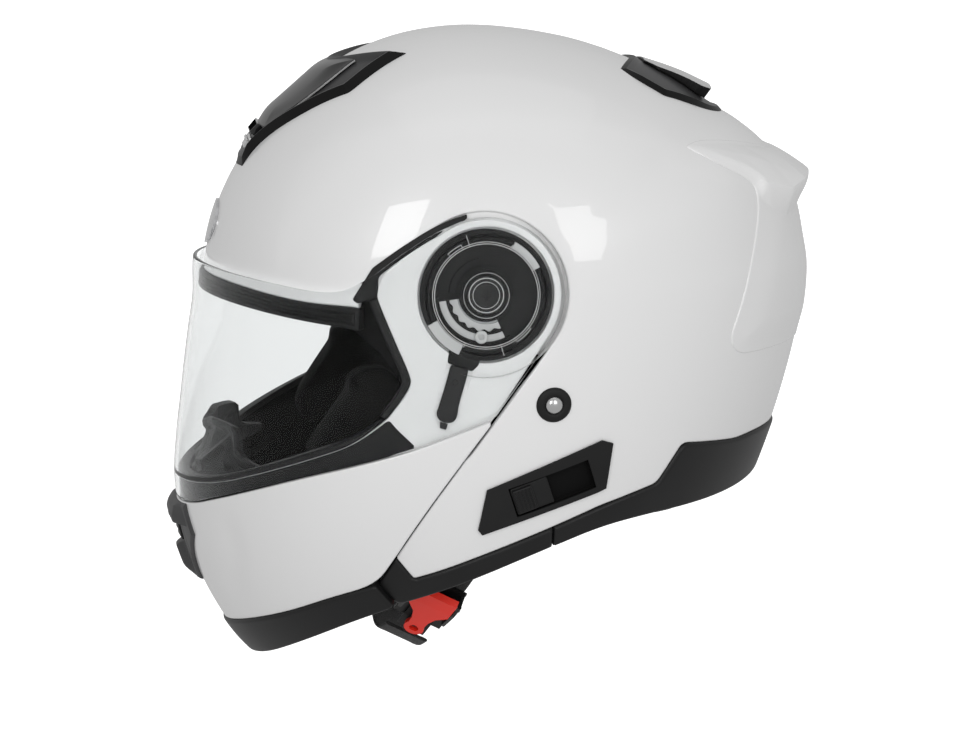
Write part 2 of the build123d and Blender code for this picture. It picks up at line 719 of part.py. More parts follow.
TONGUE = [(-7, 3.0), (26, 3.0), (26, 5.0), (16, 5.0)]
for k in range(7):
    TONGUE += [(14.0 - 3 * k, 4.3), (13.8 - 3 * k, 5.0)]
TONGUE += [(-7, 4.3)]
save(buckle_prism(TONGUE, -7.0, 7.0), "ratchet_tongue")
print("buckle pin at", STRAP_PLANE.from_local_coords((*PIN_AT, 0)),
      "lever hole at", N_PLANE.origin, N_PLANE.z_dir, flush=True)

# ---------------------------------------------------------------- EPS liner
EPS_SIDE = [(-152.0, -7.0), (-117.0, -8.6), (-91.0, -11.6), (-60.0, -16.8),
            (-46.0, -29.0), (-34.0, -46.0),
            (-28.0, -62.0), (-28.0, -112.0), (-20.0, -121.0), (0.0, -114.0),
            (32.0, -101.0), (54.0, -94.0), (80.0, -85.0), (92.0, -70.0),
            (182.0, -70.0), (182.0, 160.0), (-152.0, 160.0)]
front_room = less(common(
    block(-170, 170, -170, 30, -170, 150), wedge(93.0, 224.0)), turned(SUN_BACK))
eps = between(shell_at(3.7), CAVITY_9, side_prism(EPS_SIDE))
eps = less(
    eps,
    front_room,
    disc(50.0, 109.6, 170.0), disc(50.0, -170.0, -109.6),
    disc(10.5, 98.0, 170.0), disc(10.5, -170.0, -98.0),
    disc(14.5, 103.2, 112.0), disc(14.5, -112.0, -103.2),
    disc(5.2, 104.0, 125.0, *RIVET), disc(5.2, -125.0, -104.0, *RIVET),
)
low = less(side_prism([(24.0, -24.0), (40.0, -30.0), (26.0, -62.0), (18.5, -70.0),
                       (14.5, -80.0), (10.0, -92.0), (4.0, -135.0),
                       (-80.0, -135.0), (-80.0, -10.0)]),
           front_at(11.6))
eps = less(eps, low)
eps = less(
    eps,
    ribbon([(109.4, -16.0)] + PATH_LEFT[1:7], 8.0, 27.0),
    ribbon([(-109.4, -16.0)] + PATH_RIGHT[-2:-8:-1], 8.0, 27.0),
)
save(largest(eps), "eps_liner")

# ------------------------------------------------------------- soft padding
CROWN_SIDE = [(-152.0, -8.0), (-60.0, -12.0), (-40.0, -24.0), (56.0, -28.0),
              (92.0, -66.0), (180.0, -66.0), (180.0, 120.0), (-152.0, 120.0)]
save(largest(between(cavity(8.6), CAVITY_0, side_prism(CROWN_SIDE))), "crown_liner")
CHEEK_SIDE = [(-26.0, -34.0), (-6.0, -31.0), (40.0, -35.0), (56.0, -62.0),
              (50.0, -98.0), (12.0, -115.0), (-26.0, -128.0), (-40.0, -120.0),
              (-44.0, -86.0), (-36.0, -54.0)]
WING_SIDE = [(-20.0, -64.0), (-29.0, -62.0), (-35.0, -47.0), (-46.4, -33.9),
             (-62.4, -45.4), (-66.6, -50.2), (-71.6, -61.0), (-79.0, -73.0),
             (-82.0, -82.0), (-74.0, -93.0), (-60.0, -101.0), (-44.0, -107.5),
             (-30.0, -112.0), (-20.0, -112.0)]
wing = less(side_prism(WING_SIDE, 60.0, 96.0), CAVITY_0, less(
    side_prism([(-29.0, -40.0), (0.0, -40.0), (0.0, -120.0), (-29.0, -120.0)]),
    cavity(8.3)))
cheek = largest(joined(
    common(cavity(8.4), side_prism(CHEEK_SIDE, 57.0, 120.0)), wing))
save(largest(less(cheek, ribbon(PATH_LEFT[1:], 4.4, 25.0))), "cheek_pad_left")
save(largest(less(flipped(cheek), ribbon(PATH_RIGHT[::-1][1:9], 4.4, 25.0))),
     "cheek_pad_right")
NECK_SIDE = [(36.0, -106.0), (56.0, -99.0), (82.0, -89.0), (94.0, -76.0),
             (176.0, -78.0), (176.0, -94.0), (150.0, -101.0), (136.0, -107.0),
             (121.0, -115.6), (106.0, -122.4), (92.0, -127.0), (70.0, -122.0),
             (50.0, -119.0), (36.0, -119.5)]
with BuildPart() as neck_way:
    with BuildSketch(Plane.XY.offset(-150.0)):
        with Locations((0, CAVITY_Y)):
            Ellipse(CAVITY_B + 2.4, CAVITY_A + 2.4)
    extrude(amount=33.0)
roll = between(shell_at(9.8), cavity(2.0), side_prism(NECK_SIDE))
save(largest(less(roll, neck_way.part)), "neck_roll")

# ----------------------------------------------------------------- chin bar
CHIN_SIDE = (
    [(4.1, -57.0)]
    + moved(VISOR_LOW[1:], 0.0, -0.5)
    + [(-152.0, -197.5)]
    + CHIN_TRIM_TOP[1:-1][::-1]
    + moved(GAP[::-1][:-1], -0.6, -0.3)
)
ARM_SIDE = (
    [(-1.0, 34.2), (-12.2, 31.4), (-21.2, 27.4), (-31.6, 21.4), (-39.8, 15.8),
     (-48.6, 8.8)]
    + EYE_SIDE + SILL_TOP
    + [(-152.0, -125.0)]
    + moved(VISOR_LOW[1:-1][::-1], 0.0, -8.0)
    + [(-4.8, -66.5), (2.8, -58.4), (28.8, -18.8), (12.0, -10.0), (8.0, 20.0)]
)
LEVER_ZONE = [(-25.0, -30.0), (5.0, -34.0), (-6.0, -62.0), (-27.0, -66.0)]
arm = between(front_at(ARM_OUT), front_at(ARM_IN), side_prism(ARM_SIDE))
lever_boss = between(front_at(3.6), front_at(6.9), side_prism(LEVER_ZONE))
arm = joined(arm, lever_boss)
arm = less(arm, disc(42.0, 90.0, 115.0), disc(42.0, -115.0, -90.0))
arm = joined(arm, disc(ARM_R, 115.0, 118.0), disc(ARM_R, -118.0, -115.0))
skin = between(front_at(0.0), front_at(CHIN_T), side_prism(CHIN_SIDE))
chin = joined(arm, skin)
print("chin bar", len(chin.solids()), chin.is_valid, flush=True)
LEVER = [(-16.6, -31.5), (-13.0, -30.6), (-6.5, -32.6), (-5.0, -35.5),
         (-12.4, -54.0), (-12.6, -60.6), (-15.3, -61.8), (-21.0, -59.6),
         (-22.8, -54.6)]
LEVER_ROOM = [(-19.0, -28.5), (-4.0, -29.5), (-2.2, -36.0), (-9.2, -53.5),
              (-9.6, -61.2), (-15.5, -63.6), (-24.6, -61.4), (-26.4, -54.0)]
LEVER_PIN = (-11.0, -35.0)
tools = []
for side in (1, -1):
    for r, x0, x1 in ((31.0, 118.0, 140.0), (AXLE_R + 0.03, 100.0, 130.0)):
        tools.append(disc(r, *sorted((side * x0, side * x1))))
    tools.append(side_prism(LEVER_ROOM, *sorted((side * 116.5, side * 140.0))))
chin = largest(less(chin, *tools))
save(chin, "chin_bar_shell")
with BuildPart() as gear:
    with BuildSketch(Plane.YZ.offset(118.0)):
        Circle(GEAR_R)
        Circle(AXLE_R + 0.03, mode=Mode.SUBTRACT)
    extrude(amount=1.1)
    with BuildSketch(Plane.YZ.offset(118.0)):
        Circle(GEAR_R)
        Circle(GEAR_R - 2.2, mode=Mode.SUBTRACT)
    extrude(amount=2.9)
    with BuildSketch(Plane.YZ.offset(118.0)):
        Circle(9.97)
        Circle(8.5, mode=Mode.SUBTRACT)
    extrude(amount=3.3)
    with BuildSketch(Plane.YZ.offset(118.0)):
        Circle(9.97)
        Circle(AXLE_R + 0.03, mode=Mode.SUBTRACT)
    extrude(amount=1.85)
    with BuildSketch(Plane.YZ.offset(118.0)):
        with BuildLine():
            a = ThreePointArc((-21, 8), (-16, -16), (6, -21.7))
            b = ThreePointArc((-24.5, 9.3), (-18.7, -18.7), (7, -25.3))
            Line(a @ 0, b @ 0)
            Line(a @ 1, b @ 1)
        make_face()
    extrude(amount=2.6)
    with BuildSketch(Plane.YZ.offset(118.0)):
        with PolarLocations(20.0, 9, start_angle=165, angular_range=110):
            Circle(1.1)
    extrude(amount=2.6)
    with BuildSketch(Plane.YZ.offset(118.0)):
        with Locations((2.0, -18.0)):
            Circle(1.8)
    extrude(amount=2.9)
save(gear.part, "gear_plate_left")
save(flipped(gear.part), "gear_plate_right")
with BuildPart() as pin_room:
    with BuildSketch(Plane.YZ.offset(110.0)):
        with Locations(LEVER_PIN):
            Circle(1.33)
    extrude(amount=12)
release = less(side_prism(LEVER, 116.8, 118.3), pin_room.part)
save(release, "visor_release_left")
save(flipped(release), "visor_release_right")
pin = disc(1.3, 116.0, 119.0, *LEVER_PIN)
save(joined(pin, flipped(pin)), "visor_release_pins")

CHIN_TRIM = (
    [(-49.0, -137.2)] + CHIN_TRIM_TOP[1:] + CHIN_TRIM_LOW[::-1][:-1]
    + [(-40.0, -148.4)]
)
save(largest(between(front_at(-1.2), front_at(8.0), side_prism(CHIN_TRIM))), "chin_trim")
LINER_SIDE = [(-88.0, -99.0), (-105.0, -106.0), (-124.0, -115.0),
              (-152.0, -127.0), (-152.0, -190.0), (-101.0, -155.0),
              (-88.0, -148.0)]
save(largest(between(front_at(6.2), front_at(18.0), side_prism(LINER_SIDE))),
     "chin_bar_liner")
SILL_LOW = moved(SILL_TOP, 0.6, 3.6)
sill = between(front_at(2.2), front_at(5.4), side_prism(
    [(-48.4, -57.9)] + SILL_LOW + [(y, z + 0.12) for y, z in SILL_TOP[::-1]]
    + [(-46.0, -57.3)]))
save(largest(sill), "chin_sill_gasket")
side_gasket = between(front_at(2.2), front_at(5.4), side_prism(
    EYE_SIDE + [(-48.3, -55.2), (-42.0, -47.0), (-38.0, -40.4), (-38.2, -37.0),
                (-45.2, -22.4), (-51.0, -9.0), (-53.8, -2.6)], 0.0, 170.0))
save(largest(side_gasket), "side_gasket_left")
save(flipped(largest(side_gasket)), "side_gasket_right")
MASK_PLAN = [(-62.0, -103.5), (-54.0, -111.5), (-38.0, -122.5), (-19.0, -131.8),
             (0.0, -135.0), (19.0, -131.8), (38.0, -122.5), (54.0, -111.5),
             (62.0, -103.5)]
MASK_TOP = [(-150.0, -110.0), (-150.0, -96.0), (-133.0, -94.0), (-126.0, -78.0),
            (-121.0, -70.0), (-110.0, -65.0), (-100.0, -64.0), (-90.0, -72.0),
            (-90.0, -110.0)]
with BuildPart() as mask:
    with BuildSketch(Plane.XY.offset(-104.5)):
        with BuildLine():
            outer_line = Spline(*MASK_PLAN)
            inner_line = Spline(*[(x * 0.966, y + 2.2) for x, y in MASK_PLAN])
            Line(outer_line @ 0, inner_line @ 0)
            Line(outer_line @ 1, inner_line @ 1)
        make_face()
    extrude(amount=44.0, dir=(0.0, 0.33, 1.0))
mask_low = less(block(-66, 66, -150, -90, -110, -95), front_at(5.6))
save(largest(less(common(mask.part, side_prism(MASK_TOP, -66.0, 66.0)), mask_low)),
     "breath_deflector")


def front_prism(points):
    with BuildPart() as made:
        with BuildSketch(Plane.XZ.offset(100.0)):
            with BuildLine():
                Polyline(*points, close=True)
            make_face()
        extrude(amount=70.0)
    return made.part


VENT_FACE = [(-31, -118.5), (31, -118.5), (33, -134), (24, -142), (26, -154),
             (-26, -154), (-24, -142), (-33, -134)]
cover = between(front_at(-3.2), front_at(-0.05), front_prism(VENT_FACE))
window = front_prism([(-20.5, -123.0), (20.5, -123.0), (20.5, -137.0), (-20.5, -137.0)])
save(largest(less(cover, window)), "chin_vent_cover")
save(largest(between(front_at(-2.6), front_at(-0.8), front_prism(
    [(-20, -123.5), (20, -123.5), (20, -132.3), (-20, -132.3)]))), "chin_vent_shutter")

# -------------------------------------------------------------------- latch
housing = common(block(-24, 24, -103, -84, -175, -160), front_at(8.4))
save(less(housing, block(-13.4, 13.4, -98.4, -87.6, -180, -163.6)), "latch_housing")
save(block(-13, 13, -98, -88, -180.5, -167.6), "release_button")
cables = []
for side in (1, -1):
    start, end = Vector(side * 24.0, -93, -166), Vector(side * 66.0, -76, -142)
    with BuildPart() as cable:
        with BuildSketch(Plane(origin=start, z_dir=end - start)):
            Circle(1.6)
        extrude(amount=(end - start).length)
    cables.append(cable.part)
save(less(joined(*cables), block(-24, 24, -103, -84, -175, -160)), "latch_cables")
HOOK_AT = (-68.0, -124.0)
STRIKER = (-45.0, -113.0)
HOOK = [(-72.0, -119.5), (-64.0, -118.2), (-54.0, -120.6), (-46.5, -117.2),
        (-42.5, -116.6), (-41.0, -119.5), (-46.0, -124.5), (-56.0, -127.5),
        (-64.0, -129.0), (-72.0, -128.5), (-74.0, -124.0)]
hook = less(side_prism(HOOK, 83.5, 87.5), disc(2.54, 70, 100, *HOOK_AT))
save(hook, "latch_hook_left")
save(flipped(hook), "latch_hook_right")
pin = disc(2.5, 81.0, 97.0, *HOOK_AT)
save(joined(pin, flipped(pin)), "latch_pivots")
pin = disc(2.4, 82.0, 103.0, *STRIKER)
save(joined(pin, flipped(pin)), "latch_strikers")

# -------------------------------------------------------------------- visor
VISOR_SIDE = (
    [(-2.0, 35.2), (-13.0, 32.9)] + VISOR_TOP + [(-152.0, -116.5)]
    + moved(VISOR_LOW[1:-1][::-1], 0.0, 0.5)
    + [(4.3, -55.6), (29.0, -20.3), (10.0, 0.0)]
)
visor = between(
    front_at(0.0), front_at(VISOR_T),
    joined(side_prism(VISOR_SIDE), disc(LOBE_R, -170, 170)),
)
rings = []
for side in (1, -1):
    with BuildPart() as boss_ring:
        with BuildSketch(Plane.YZ.offset(side * 119.4)):
            Circle(13.0)
            Circle(10.03, mode=Mode.SUBTRACT)
        extrude(amount=side * 3.4)
    rings.append(boss_ring.part)
save(largest(joined(visor, *rings)), "visor")
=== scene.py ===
import json
import math

import bmesh
import bpy
import numpy as np
from mathutils import Matrix, Vector
from mathutils.bvhtree import BVHTree
from mathutils.geometry import delaunay_2d_cdt


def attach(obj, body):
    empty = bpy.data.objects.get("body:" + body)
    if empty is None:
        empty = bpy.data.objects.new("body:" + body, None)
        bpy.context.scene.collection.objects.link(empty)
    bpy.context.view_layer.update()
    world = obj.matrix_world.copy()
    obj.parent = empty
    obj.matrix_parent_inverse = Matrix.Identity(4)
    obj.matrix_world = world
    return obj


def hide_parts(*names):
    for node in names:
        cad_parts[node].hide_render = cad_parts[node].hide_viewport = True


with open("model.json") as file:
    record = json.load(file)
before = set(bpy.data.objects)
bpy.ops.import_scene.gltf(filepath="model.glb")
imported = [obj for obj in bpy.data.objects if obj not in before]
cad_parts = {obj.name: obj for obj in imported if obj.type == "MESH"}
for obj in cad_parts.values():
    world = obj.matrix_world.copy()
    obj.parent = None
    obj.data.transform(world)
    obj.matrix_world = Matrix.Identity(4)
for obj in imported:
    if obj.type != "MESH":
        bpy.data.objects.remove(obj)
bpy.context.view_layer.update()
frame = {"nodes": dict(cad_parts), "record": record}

# ------------------------------------------------------------------ camera
# Almost square to the left side, 6 degrees towards the front, 9 from above.
BETA, EL = math.radians(6.0), math.radians(9.0)
CB, SB, CE, SE = math.cos(BETA), math.sin(BETA), math.cos(EL), math.sin(EL)
RIGHT = Vector((SB, CB, 0.0))
UP = Vector((-SE * CB, SE * SB, CE))
BACK = Vector((CE * CB, -CE * SB, SE))
cam_data = bpy.data.cameras.new("camera")
cam_data.sensor_width = 36.0
cam_data.sensor_fit = "HORIZONTAL"
cam_data.lens = 36.0 * 3080.0 / 978.0
cam_data.clip_start, cam_data.clip_end = 0.05, 50.0
cam = bpy.data.objects.new("camera", cam_data)
bpy.context.scene.collection.objects.link(cam)
place = (RIGHT * 13.89 + UP * -49.857 + BACK * 1500.0) / 1000.0
turn = Matrix((RIGHT, UP, BACK)).transposed().to_4x4()
cam.matrix_world = Matrix.Translation(place) @ turn
bpy.context.scene.camera = cam

# --------------------------------------------------- the helmet's surfaces
# Millimetres here; metres when a mesh is made.
HALF_WIDTH, HALF_WIDTH_UP, FULLNESS = 124.0, 119.0, 0.25
R_SHELL = {
    60: 122.6, 66: 119.9, 70.4: 118.2, 77: 116.4, 83.8: 115.4, 90.5: 114.9,
    97.5: 114.6, 104.4: 114.6, 111.4: 114.6, 120: 114.8, 130: 115.3,
    140: 116.2, 150: 117.8, 159.7: 120.0, 166.5: 121.6, 173.3: 123.0,
    180: 124.6, 190: 128.0, 200: 134.0, 210: 143.0, 220: 155.0, 230: 170.0,
    240: 188.0, 250: 207.0, 258: 218.0, 264: 221.5, 270: 220.0, 280: 213.0,
    290: 205.0, 300: 196.5, 310: 188.0, 320: 179.5, 330: 172.5, 340: 168.6,
    350: 167.6, 0: 167.6, 5: 166.0, 10: 165.0, 15: 163.5, 20: 160.5,
    27.8: 150.5, 33.3: 142.4, 40: 136.8, 51.3: 127.6, 57.5: 123.9,
}
R_FRONT = {
    70.4: 118.2, 77: 116.4, 83.8: 115.4, 90.5: 114.9, 97.5: 114.6, 110: 114.8,
    130: 118.0, 150: 123.0, 160: 125.5, 170: 128.0, 178: 129.8, 186: 131.0,
    192.5: 135.8, 198.7: 142.3, 204.8: 150.8, 210.5: 161.5, 216: 173.5,
    221.5: 184.0, 227: 193.5, 233: 203.5, 239: 212.5, 246: 219.0, 254: 223.0,
    262: 223.0, 270: 220.0, 280: 213.0, 290: 205.0, 300: 196.5, 310: 188.0,
    320: 179.5, 330: 172.5, 340: 168.6, 350: 167.6, 0: 167.6, 5: 166.0,
    10: 165.0, 15: 163.5, 20: 160.5, 27.8: 150.5, 33.3: 142.4, 40: 136.8,
    51.3: 127.6, 57.5: 123.9, 63.8: 120.8,
}


def table_curve(table):
    keys = np.array(sorted(table), float)
    vals = np.array([table[k] for k in sorted(table)], float)
    x = np.concatenate([keys - 360, keys, keys + 360])
    y = np.tile(vals, 3)
    m = np.zeros(len(x))
    m[1:-1] = (y[2:] - y[:-2]) / (x[2:] - x[:-2])

    def at(a):
        a = np.mod(a, 360.0)
        i = np.clip(np.searchsorted(x, a, side="left") - 1, 0, len(x) - 2)
        h = x[i + 1] - x[i]
        s = (a - x[i]) / h
        return ((2 * s**3 - 3 * s**2 + 1) * y[i] + (s**3 - 2 * s**2 + s) * h * m[i]
                + (-2 * s**3 + 3 * s**2) * y[i + 1] + (s**3 - s**2) * h * m[i + 1])

    return at


shell_radius, front_radius = table_curve(R_SHELL), table_curve(R_FRONT)


def smooth(t):
    t = np.clip(t, 0.0, 1.0)
    return t * t * (3 - 2 * t)


def unit(q):
    return q / np.maximum(np.linalg.norm(q, axis=1, keepdims=True), 1e-12)


def side_angle(q):
    return np.degrees(np.arctan2(q[:, 1], q[:, 0])) % 360.0


def shell_point(q):
    """A point on the outer shell for each direction (y, z, x)."""
    s = np.hypot(q[:, 0], q[:, 1])
    a, cu = side_angle(q), q[:, 2]
    r = shell_radius(a) * s
    w = np.where(a <= 20, 0.0, np.where(
        a < 90, smooth((a - 20) / 70), np.where(
            a <= 225, 1.0, np.where(a < 255, 1 - smooth((a - 225) / 30), 0.0))))
    wide = HALF_WIDTH - (HALF_WIDTH - HALF_WIDTH_UP) * w
    wide = 119 + (wide - 119) * smooth((r - 15) / 30)
    x = wide * cu * (1 + FULLNESS * s * s * cu * cu)
    k = r / np.maximum(s, 1e-9)
    return np.stack([x, q[:, 0] * k, q[:, 1] * k], 1)


def front_point(q):
    """The same for the visor and chin bar, nearly flat round the pivots."""
    s = np.hypot(q[:, 0], q[:, 1])
    a, cu = side_angle(q), q[:, 2]
    full = front_radius(a)
    r = full * s
    sp = r / (200.0 + (full - 200.0) * smooth((r - 28) / 32))
    c = np.where(r >= 60, cu * cu, np.maximum(1 - sp * sp, 0))
    x = np.sign(cu) * HALF_WIDTH * np.sqrt(c) * (1 + FULLNESS * sp * sp * c)
    k = r / np.maximum(s, 1e-9)
    return np.stack([x, q[:, 0] * k, q[:, 1] * k], 1)


def normals_at(point, q):
    ref = np.where(np.abs(q[:, 2:3]) < 0.9, [[0.0, 0.0, 1.0]], [[1.0, 0.0, 0.0]])
    e1 = unit(np.cross(q, ref))
    e2 = np.cross(q, e1)
    d = 3e-3
    a = point(unit(q + d * e1)) - point(unit(q - d * e1))
    b = point(unit(q + d * e2)) - point(unit(q - d * e2))
    n = unit(np.cross(a, b))
    p = point(q)
    return n * np.sign(np.sum(n * p, 1, keepdims=True))


def direction(y, z, r_of, side=1.0):
    """The direction whose surface point is seen at (y, z) from the side."""
    y, z = np.atleast_1d(y).astype(float), np.atleast_1d(z).astype(float)
    r = np.hypot(y, z)
    a = np.degrees(np.arctan2(z, y)) % 360
    s = np.clip(r / r_of(a), 0, 0.9999)
    c = np.sqrt(1 - s * s) * side
    r = np.maximum(r, 1e-9)
    return np.stack([y / r * s, z / r * s, c], 1)


# ------------------------------------------------------------------ outlines
def outline(points, sharp=None, steps=7):
    """A closed smooth outline; sharp gives the vertices that keep a corner
    and how far from the corner its rounding starts."""
    sharp = sharp or {}
    n, out = len(points), []
    for i in range(n):
        p0, p1, p2 = (np.array(points[(i + k) % n], float) for k in (-1, 0, 1))
        la, lb = np.linalg.norm(p0 - p1), np.linalg.norm(p2 - p1)
        cut = sharp.get(i)
        if cut == 0:
            out.append(p1)
            continue
        a = p1 + (p0 - p1) * (0.5 if cut is None else min(0.5, cut / la))
        b = p1 + (p2 - p1) * (0.5 if cut is None else min(0.5, cut / lb))
        for k in range(steps):
            t = k / (steps - 1)
            out.append((1 - t) ** 2 * a + 2 * t * (1 - t) * p1 + t * t * b)
    kept = [out[0]]
    for p in out[1:]:
        if np.linalg.norm(p - kept[-1]) > 1e-3:
            kept.append(p)
    if np.linalg.norm(kept[0] - kept[-1]) < 1e-3:
        kept.pop()
    return np.array(kept)


def circle(r, cy=0.0, cz=0.0, n=96):
    t = np.arange(n) * 2 * np.pi / n
    return np.stack([cy + r * np.cos(t), cz + r * np.sin(t)], 1)


def inside_of(points, poly):
    """Signed distance to a closed outline, positive inside."""
    px, py = points[:, 0], points[:, 1]
    best = np.full(len(points), 1e18)
    odd = np.zeros(len(points), bool)
    a = poly
    b = np.roll(poly, -1, axis=0)
    for (x0, y0), (x1, y1) in zip(a, b):
        dx, dy = x1 - x0, y1 - y0
        ll = dx * dx + dy * dy
        if ll < 1e-12:
            continue
        t = np.clip(((px - x0) * dx + (py - y0) * dy) / ll, 0, 1)
        ex, ey = px - (x0 + t * dx), py - (y0 + t * dy)
        np.minimum(best, ex * ex + ey * ey, out=best)
        if y0 != y1:
            odd ^= ((y0 > py) != (y1 > py)) & (px < dx * (py - y0) / dy + x0)
    best = np.sqrt(best)
    return np.where(odd, best, -best)


def line_gap(points, line):
    """Distance to an open line and its sign by the side it lies on."""
    px, py = points[:, 0], points[:, 1]
    best, sign = np.full(len(points), 1e18), np.ones(len(points))
    for (x0, y0), (x1, y1) in zip(line[:-1], line[1:]):
        dx, dy = x1 - x0, y1 - y0
        t = np.clip(((px - x0) * dx + (py - y0) * dy) / (dx * dx + dy * dy), 0, 1)
        ex, ey = px - (x0 + t * dx), py - (y0 + t * dy)
        d = ex * ex + ey * ey
        near = d < best
        best = np.where(near, d, best)
        sign = np.where(near, np.sign(dx * ey - dy * ex + 1e-12), sign)
    return np.sqrt(best) * sign


def side(poly):
    return lambda p: inside_of(p[:, 1:3], poly)


def both(*fields):
    return lambda p: np.minimum.reduce([f(p) for f in fields])


def either(*fields):
    return lambda p: np.maximum.reduce([f(p) for f in fields])


def outside(field):
    return lambda p: -field(p)


# ------------------------------------------------------- sheets of surface
class Sheet:
    """A triangle mesh on one of the surfaces, cut along outlines."""

    def __init__(self, point, a0, a1, na, u0, u1, nu):
        self.point, self.funcs, self.vals = point, {}, {}
        wrap = abs(a1 - a0 - 360) < 1e-6
        aa = np.radians(np.linspace(a0, a1, na + 1))
        uu = np.radians(np.linspace(u0, u1, nu + 1))
        if wrap:
            aa = aa[:-1]
        m = len(aa)
        A, U = np.meshgrid(aa, uu)
        self.q = np.stack([np.cos(A) * np.sin(U), np.sin(A) * np.sin(U), np.cos(U)], -1).reshape(-1, 3)
        rows, cols = np.arange(nu), np.arange(m if wrap else m - 1)
        I, J = np.meshgrid(rows, cols, indexing="ij")
        J2 = (J + 1) % m
        v00, v01, v10, v11 = I * m + J, I * m + J2, (I + 1) * m + J, (I + 1) * m + J2
        flip = (I + J) % 2 == 0
        t1 = np.where(flip[..., None], np.stack([v00, v10, v11], -1), np.stack([v00, v10, v01], -1))
        t2 = np.where(flip[..., None], np.stack([v00, v11, v01], -1), np.stack([v10, v11, v01], -1))
        self.tri = np.concatenate([t1.reshape(-1, 3), t2.reshape(-1, 3)])
        if u0 == 0:
            self._pole(np.arange(m))
        if u1 == 180:
            self._pole(np.arange(m) + nu * m)
        self.pos = point(self.q)
        p = self.pos[self.tri[:200]]
        n = np.cross(p[:, 1] - p[:, 0], p[:, 2] - p[:, 0])
        if np.sum(np.sum(n * p[:, 0], 1)) < 0:
            self.tri = self.tri[:, ::-1].copy()

    def _pole(self, row):
        self.tri[np.isin(self.tri, row)] = row[0]
        t = self.tri
        self.tri = t[(t[:, 0] != t[:, 1]) & (t[:, 1] != t[:, 2]) & (t[:, 0] != t[:, 2])]

    def field(self, name, func):
        self.funcs[name], self.vals[name] = func, func(self.pos)
        return self

    def cut(self, name, level=0.0, keep=True):
        func = self.funcs[name]
        v = self.vals[name] - level
        v = np.where(np.abs(v) < 1e-6, 1e-6 if keep else 1e-6, v)
        up = v > 0
        n = up[self.tri].sum(1)
        mixed = (n == 1) | (n == 2)
        whole, none = self.tri[n == 3], self.tri[n == 0]
        t = self.tri[mixed]
        if len(t):
            s = up[t]
            lone_up = s.sum(1) == 1
            lone = np.where(lone_up[:, None], s, ~s).argmax(1)
            idx = (lone[:, None] + np.arange(3)) % 3
            t = np.take_along_axis(t, idx, 1)
            A, B, C = t.T
            e = np.sort(np.concatenate([np.stack([A, B], 1), np.stack([A, C], 1)]), 1)
            uniq, inv = np.unique(e, axis=0, return_inverse=True)
            inv = inv.reshape(-1)
            i, j = uniq.T
            vi, vj = v[i], v[j]
            lo, hi, flo, fhi = np.zeros(len(i)), np.ones(len(i)), vi.copy(), vj.copy()
            for _ in range(4):
                tt = np.clip(lo + (hi - lo) * flo / (flo - fhi), 0.004, 0.996)
                qq = unit(self.q[i] * (1 - tt[:, None]) + self.q[j] * tt[:, None])
                pp = self.point(qq)
                val = func(pp) - level
                same = (val > 0) == (vi > 0)
                lo, flo = np.where(same, tt, lo), np.where(same, val, flo)
                hi, fhi = np.where(same, hi, tt), np.where(same, fhi, val)
                fhi = np.where(np.abs(flo - fhi) < 1e-12, fhi + 1e-9, fhi)
            base = len(self.q)
            self.q = np.concatenate([self.q, qq])
            self.pos = np.concatenate([self.pos, pp])
            for k, f in self.funcs.items():
                new = np.full(len(pp), level + 1e-6) if k == name else f(pp)
                self.vals[k] = np.concatenate([self.vals[k], new])
            P, Q = base + inv[: len(t)], base + inv[len(t):]
            tip = np.stack([A, P, Q], 1)
            r1, r2 = np.stack([P, B, C], 1), np.stack([P, C, Q], 1)
            parts = [whole, tip[lone_up], r1[~lone_up], r2[~lone_up]]
            if not keep:
                parts += [none, tip[~lone_up], r1[lone_up], r2[lone_up]]
            self.tri = np.concatenate(parts)
        else:
            self.tri = whole if keep else np.concatenate([whole, none])
        used, back = np.unique(self.tri, return_inverse=True)
        self.tri = back.reshape(-1, 3)
        self.q, self.pos = self.q[used], self.pos[used]
        self.vals = {k: w[used] for k, w in self.vals.items()}
        return self

    def trim(self, name, edge=0.0, steps=(1.0, 0.62, 0.29, 0.08)):
        """Cuts to the outline, with lines that a rounded edge needs."""
        self.cut(name, 0.0)
        for s in steps if edge else ():
            self.cut(name, edge * s, keep=False)
        return self

    @property
    def normal(self):
        return normals_at(self.point, self.q)


def rounding(d, r):
    """How far a rounded edge of radius r has dropped at distance d."""
    d = np.clip(d, 0, r)
    return r - np.sqrt(np.maximum(r * r - (r - d) ** 2, 0))


def loops(tri):
    e = np.concatenate([tri[:, [0, 1]], tri[:, [1, 2]], tri[:, [2, 0]]])
    key = np.sort(e, 1)
    uniq, inv, count = np.unique(key, axis=0, return_inverse=True, return_counts=True)
    return e[count[inv.reshape(-1)] == 1]


def new_mesh(name, verts, faces, mats=None):
    mesh = bpy.data.meshes.new(name)
    mesh.from_pydata((np.asarray(verts) * 0.001).tolist(), [], [list(map(int, f)) for f in faces])
    if mats is not None:
        mesh.polygons.foreach_set("material_index", np.asarray(mats, np.int32))
    mesh.update()
    return mesh


def finish_piece(name, mesh, body, materials, replaces=(), sharp=38.0):
    o = bpy.data.objects.new(name, mesh)
    bpy.context.scene.collection.objects.link(o)
    for m in materials if isinstance(materials, (list, tuple)) else [materials]:
        mesh.materials.append(m)
    mesh.polygons.foreach_set("use_smooth", [True] * len(mesh.polygons))
    mesh.set_sharp_from_angle(angle=math.radians(sharp))
    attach(o, body)
    if replaces:
        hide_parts(*([replaces] if isinstance(replaces, str) else replaces))
    return o


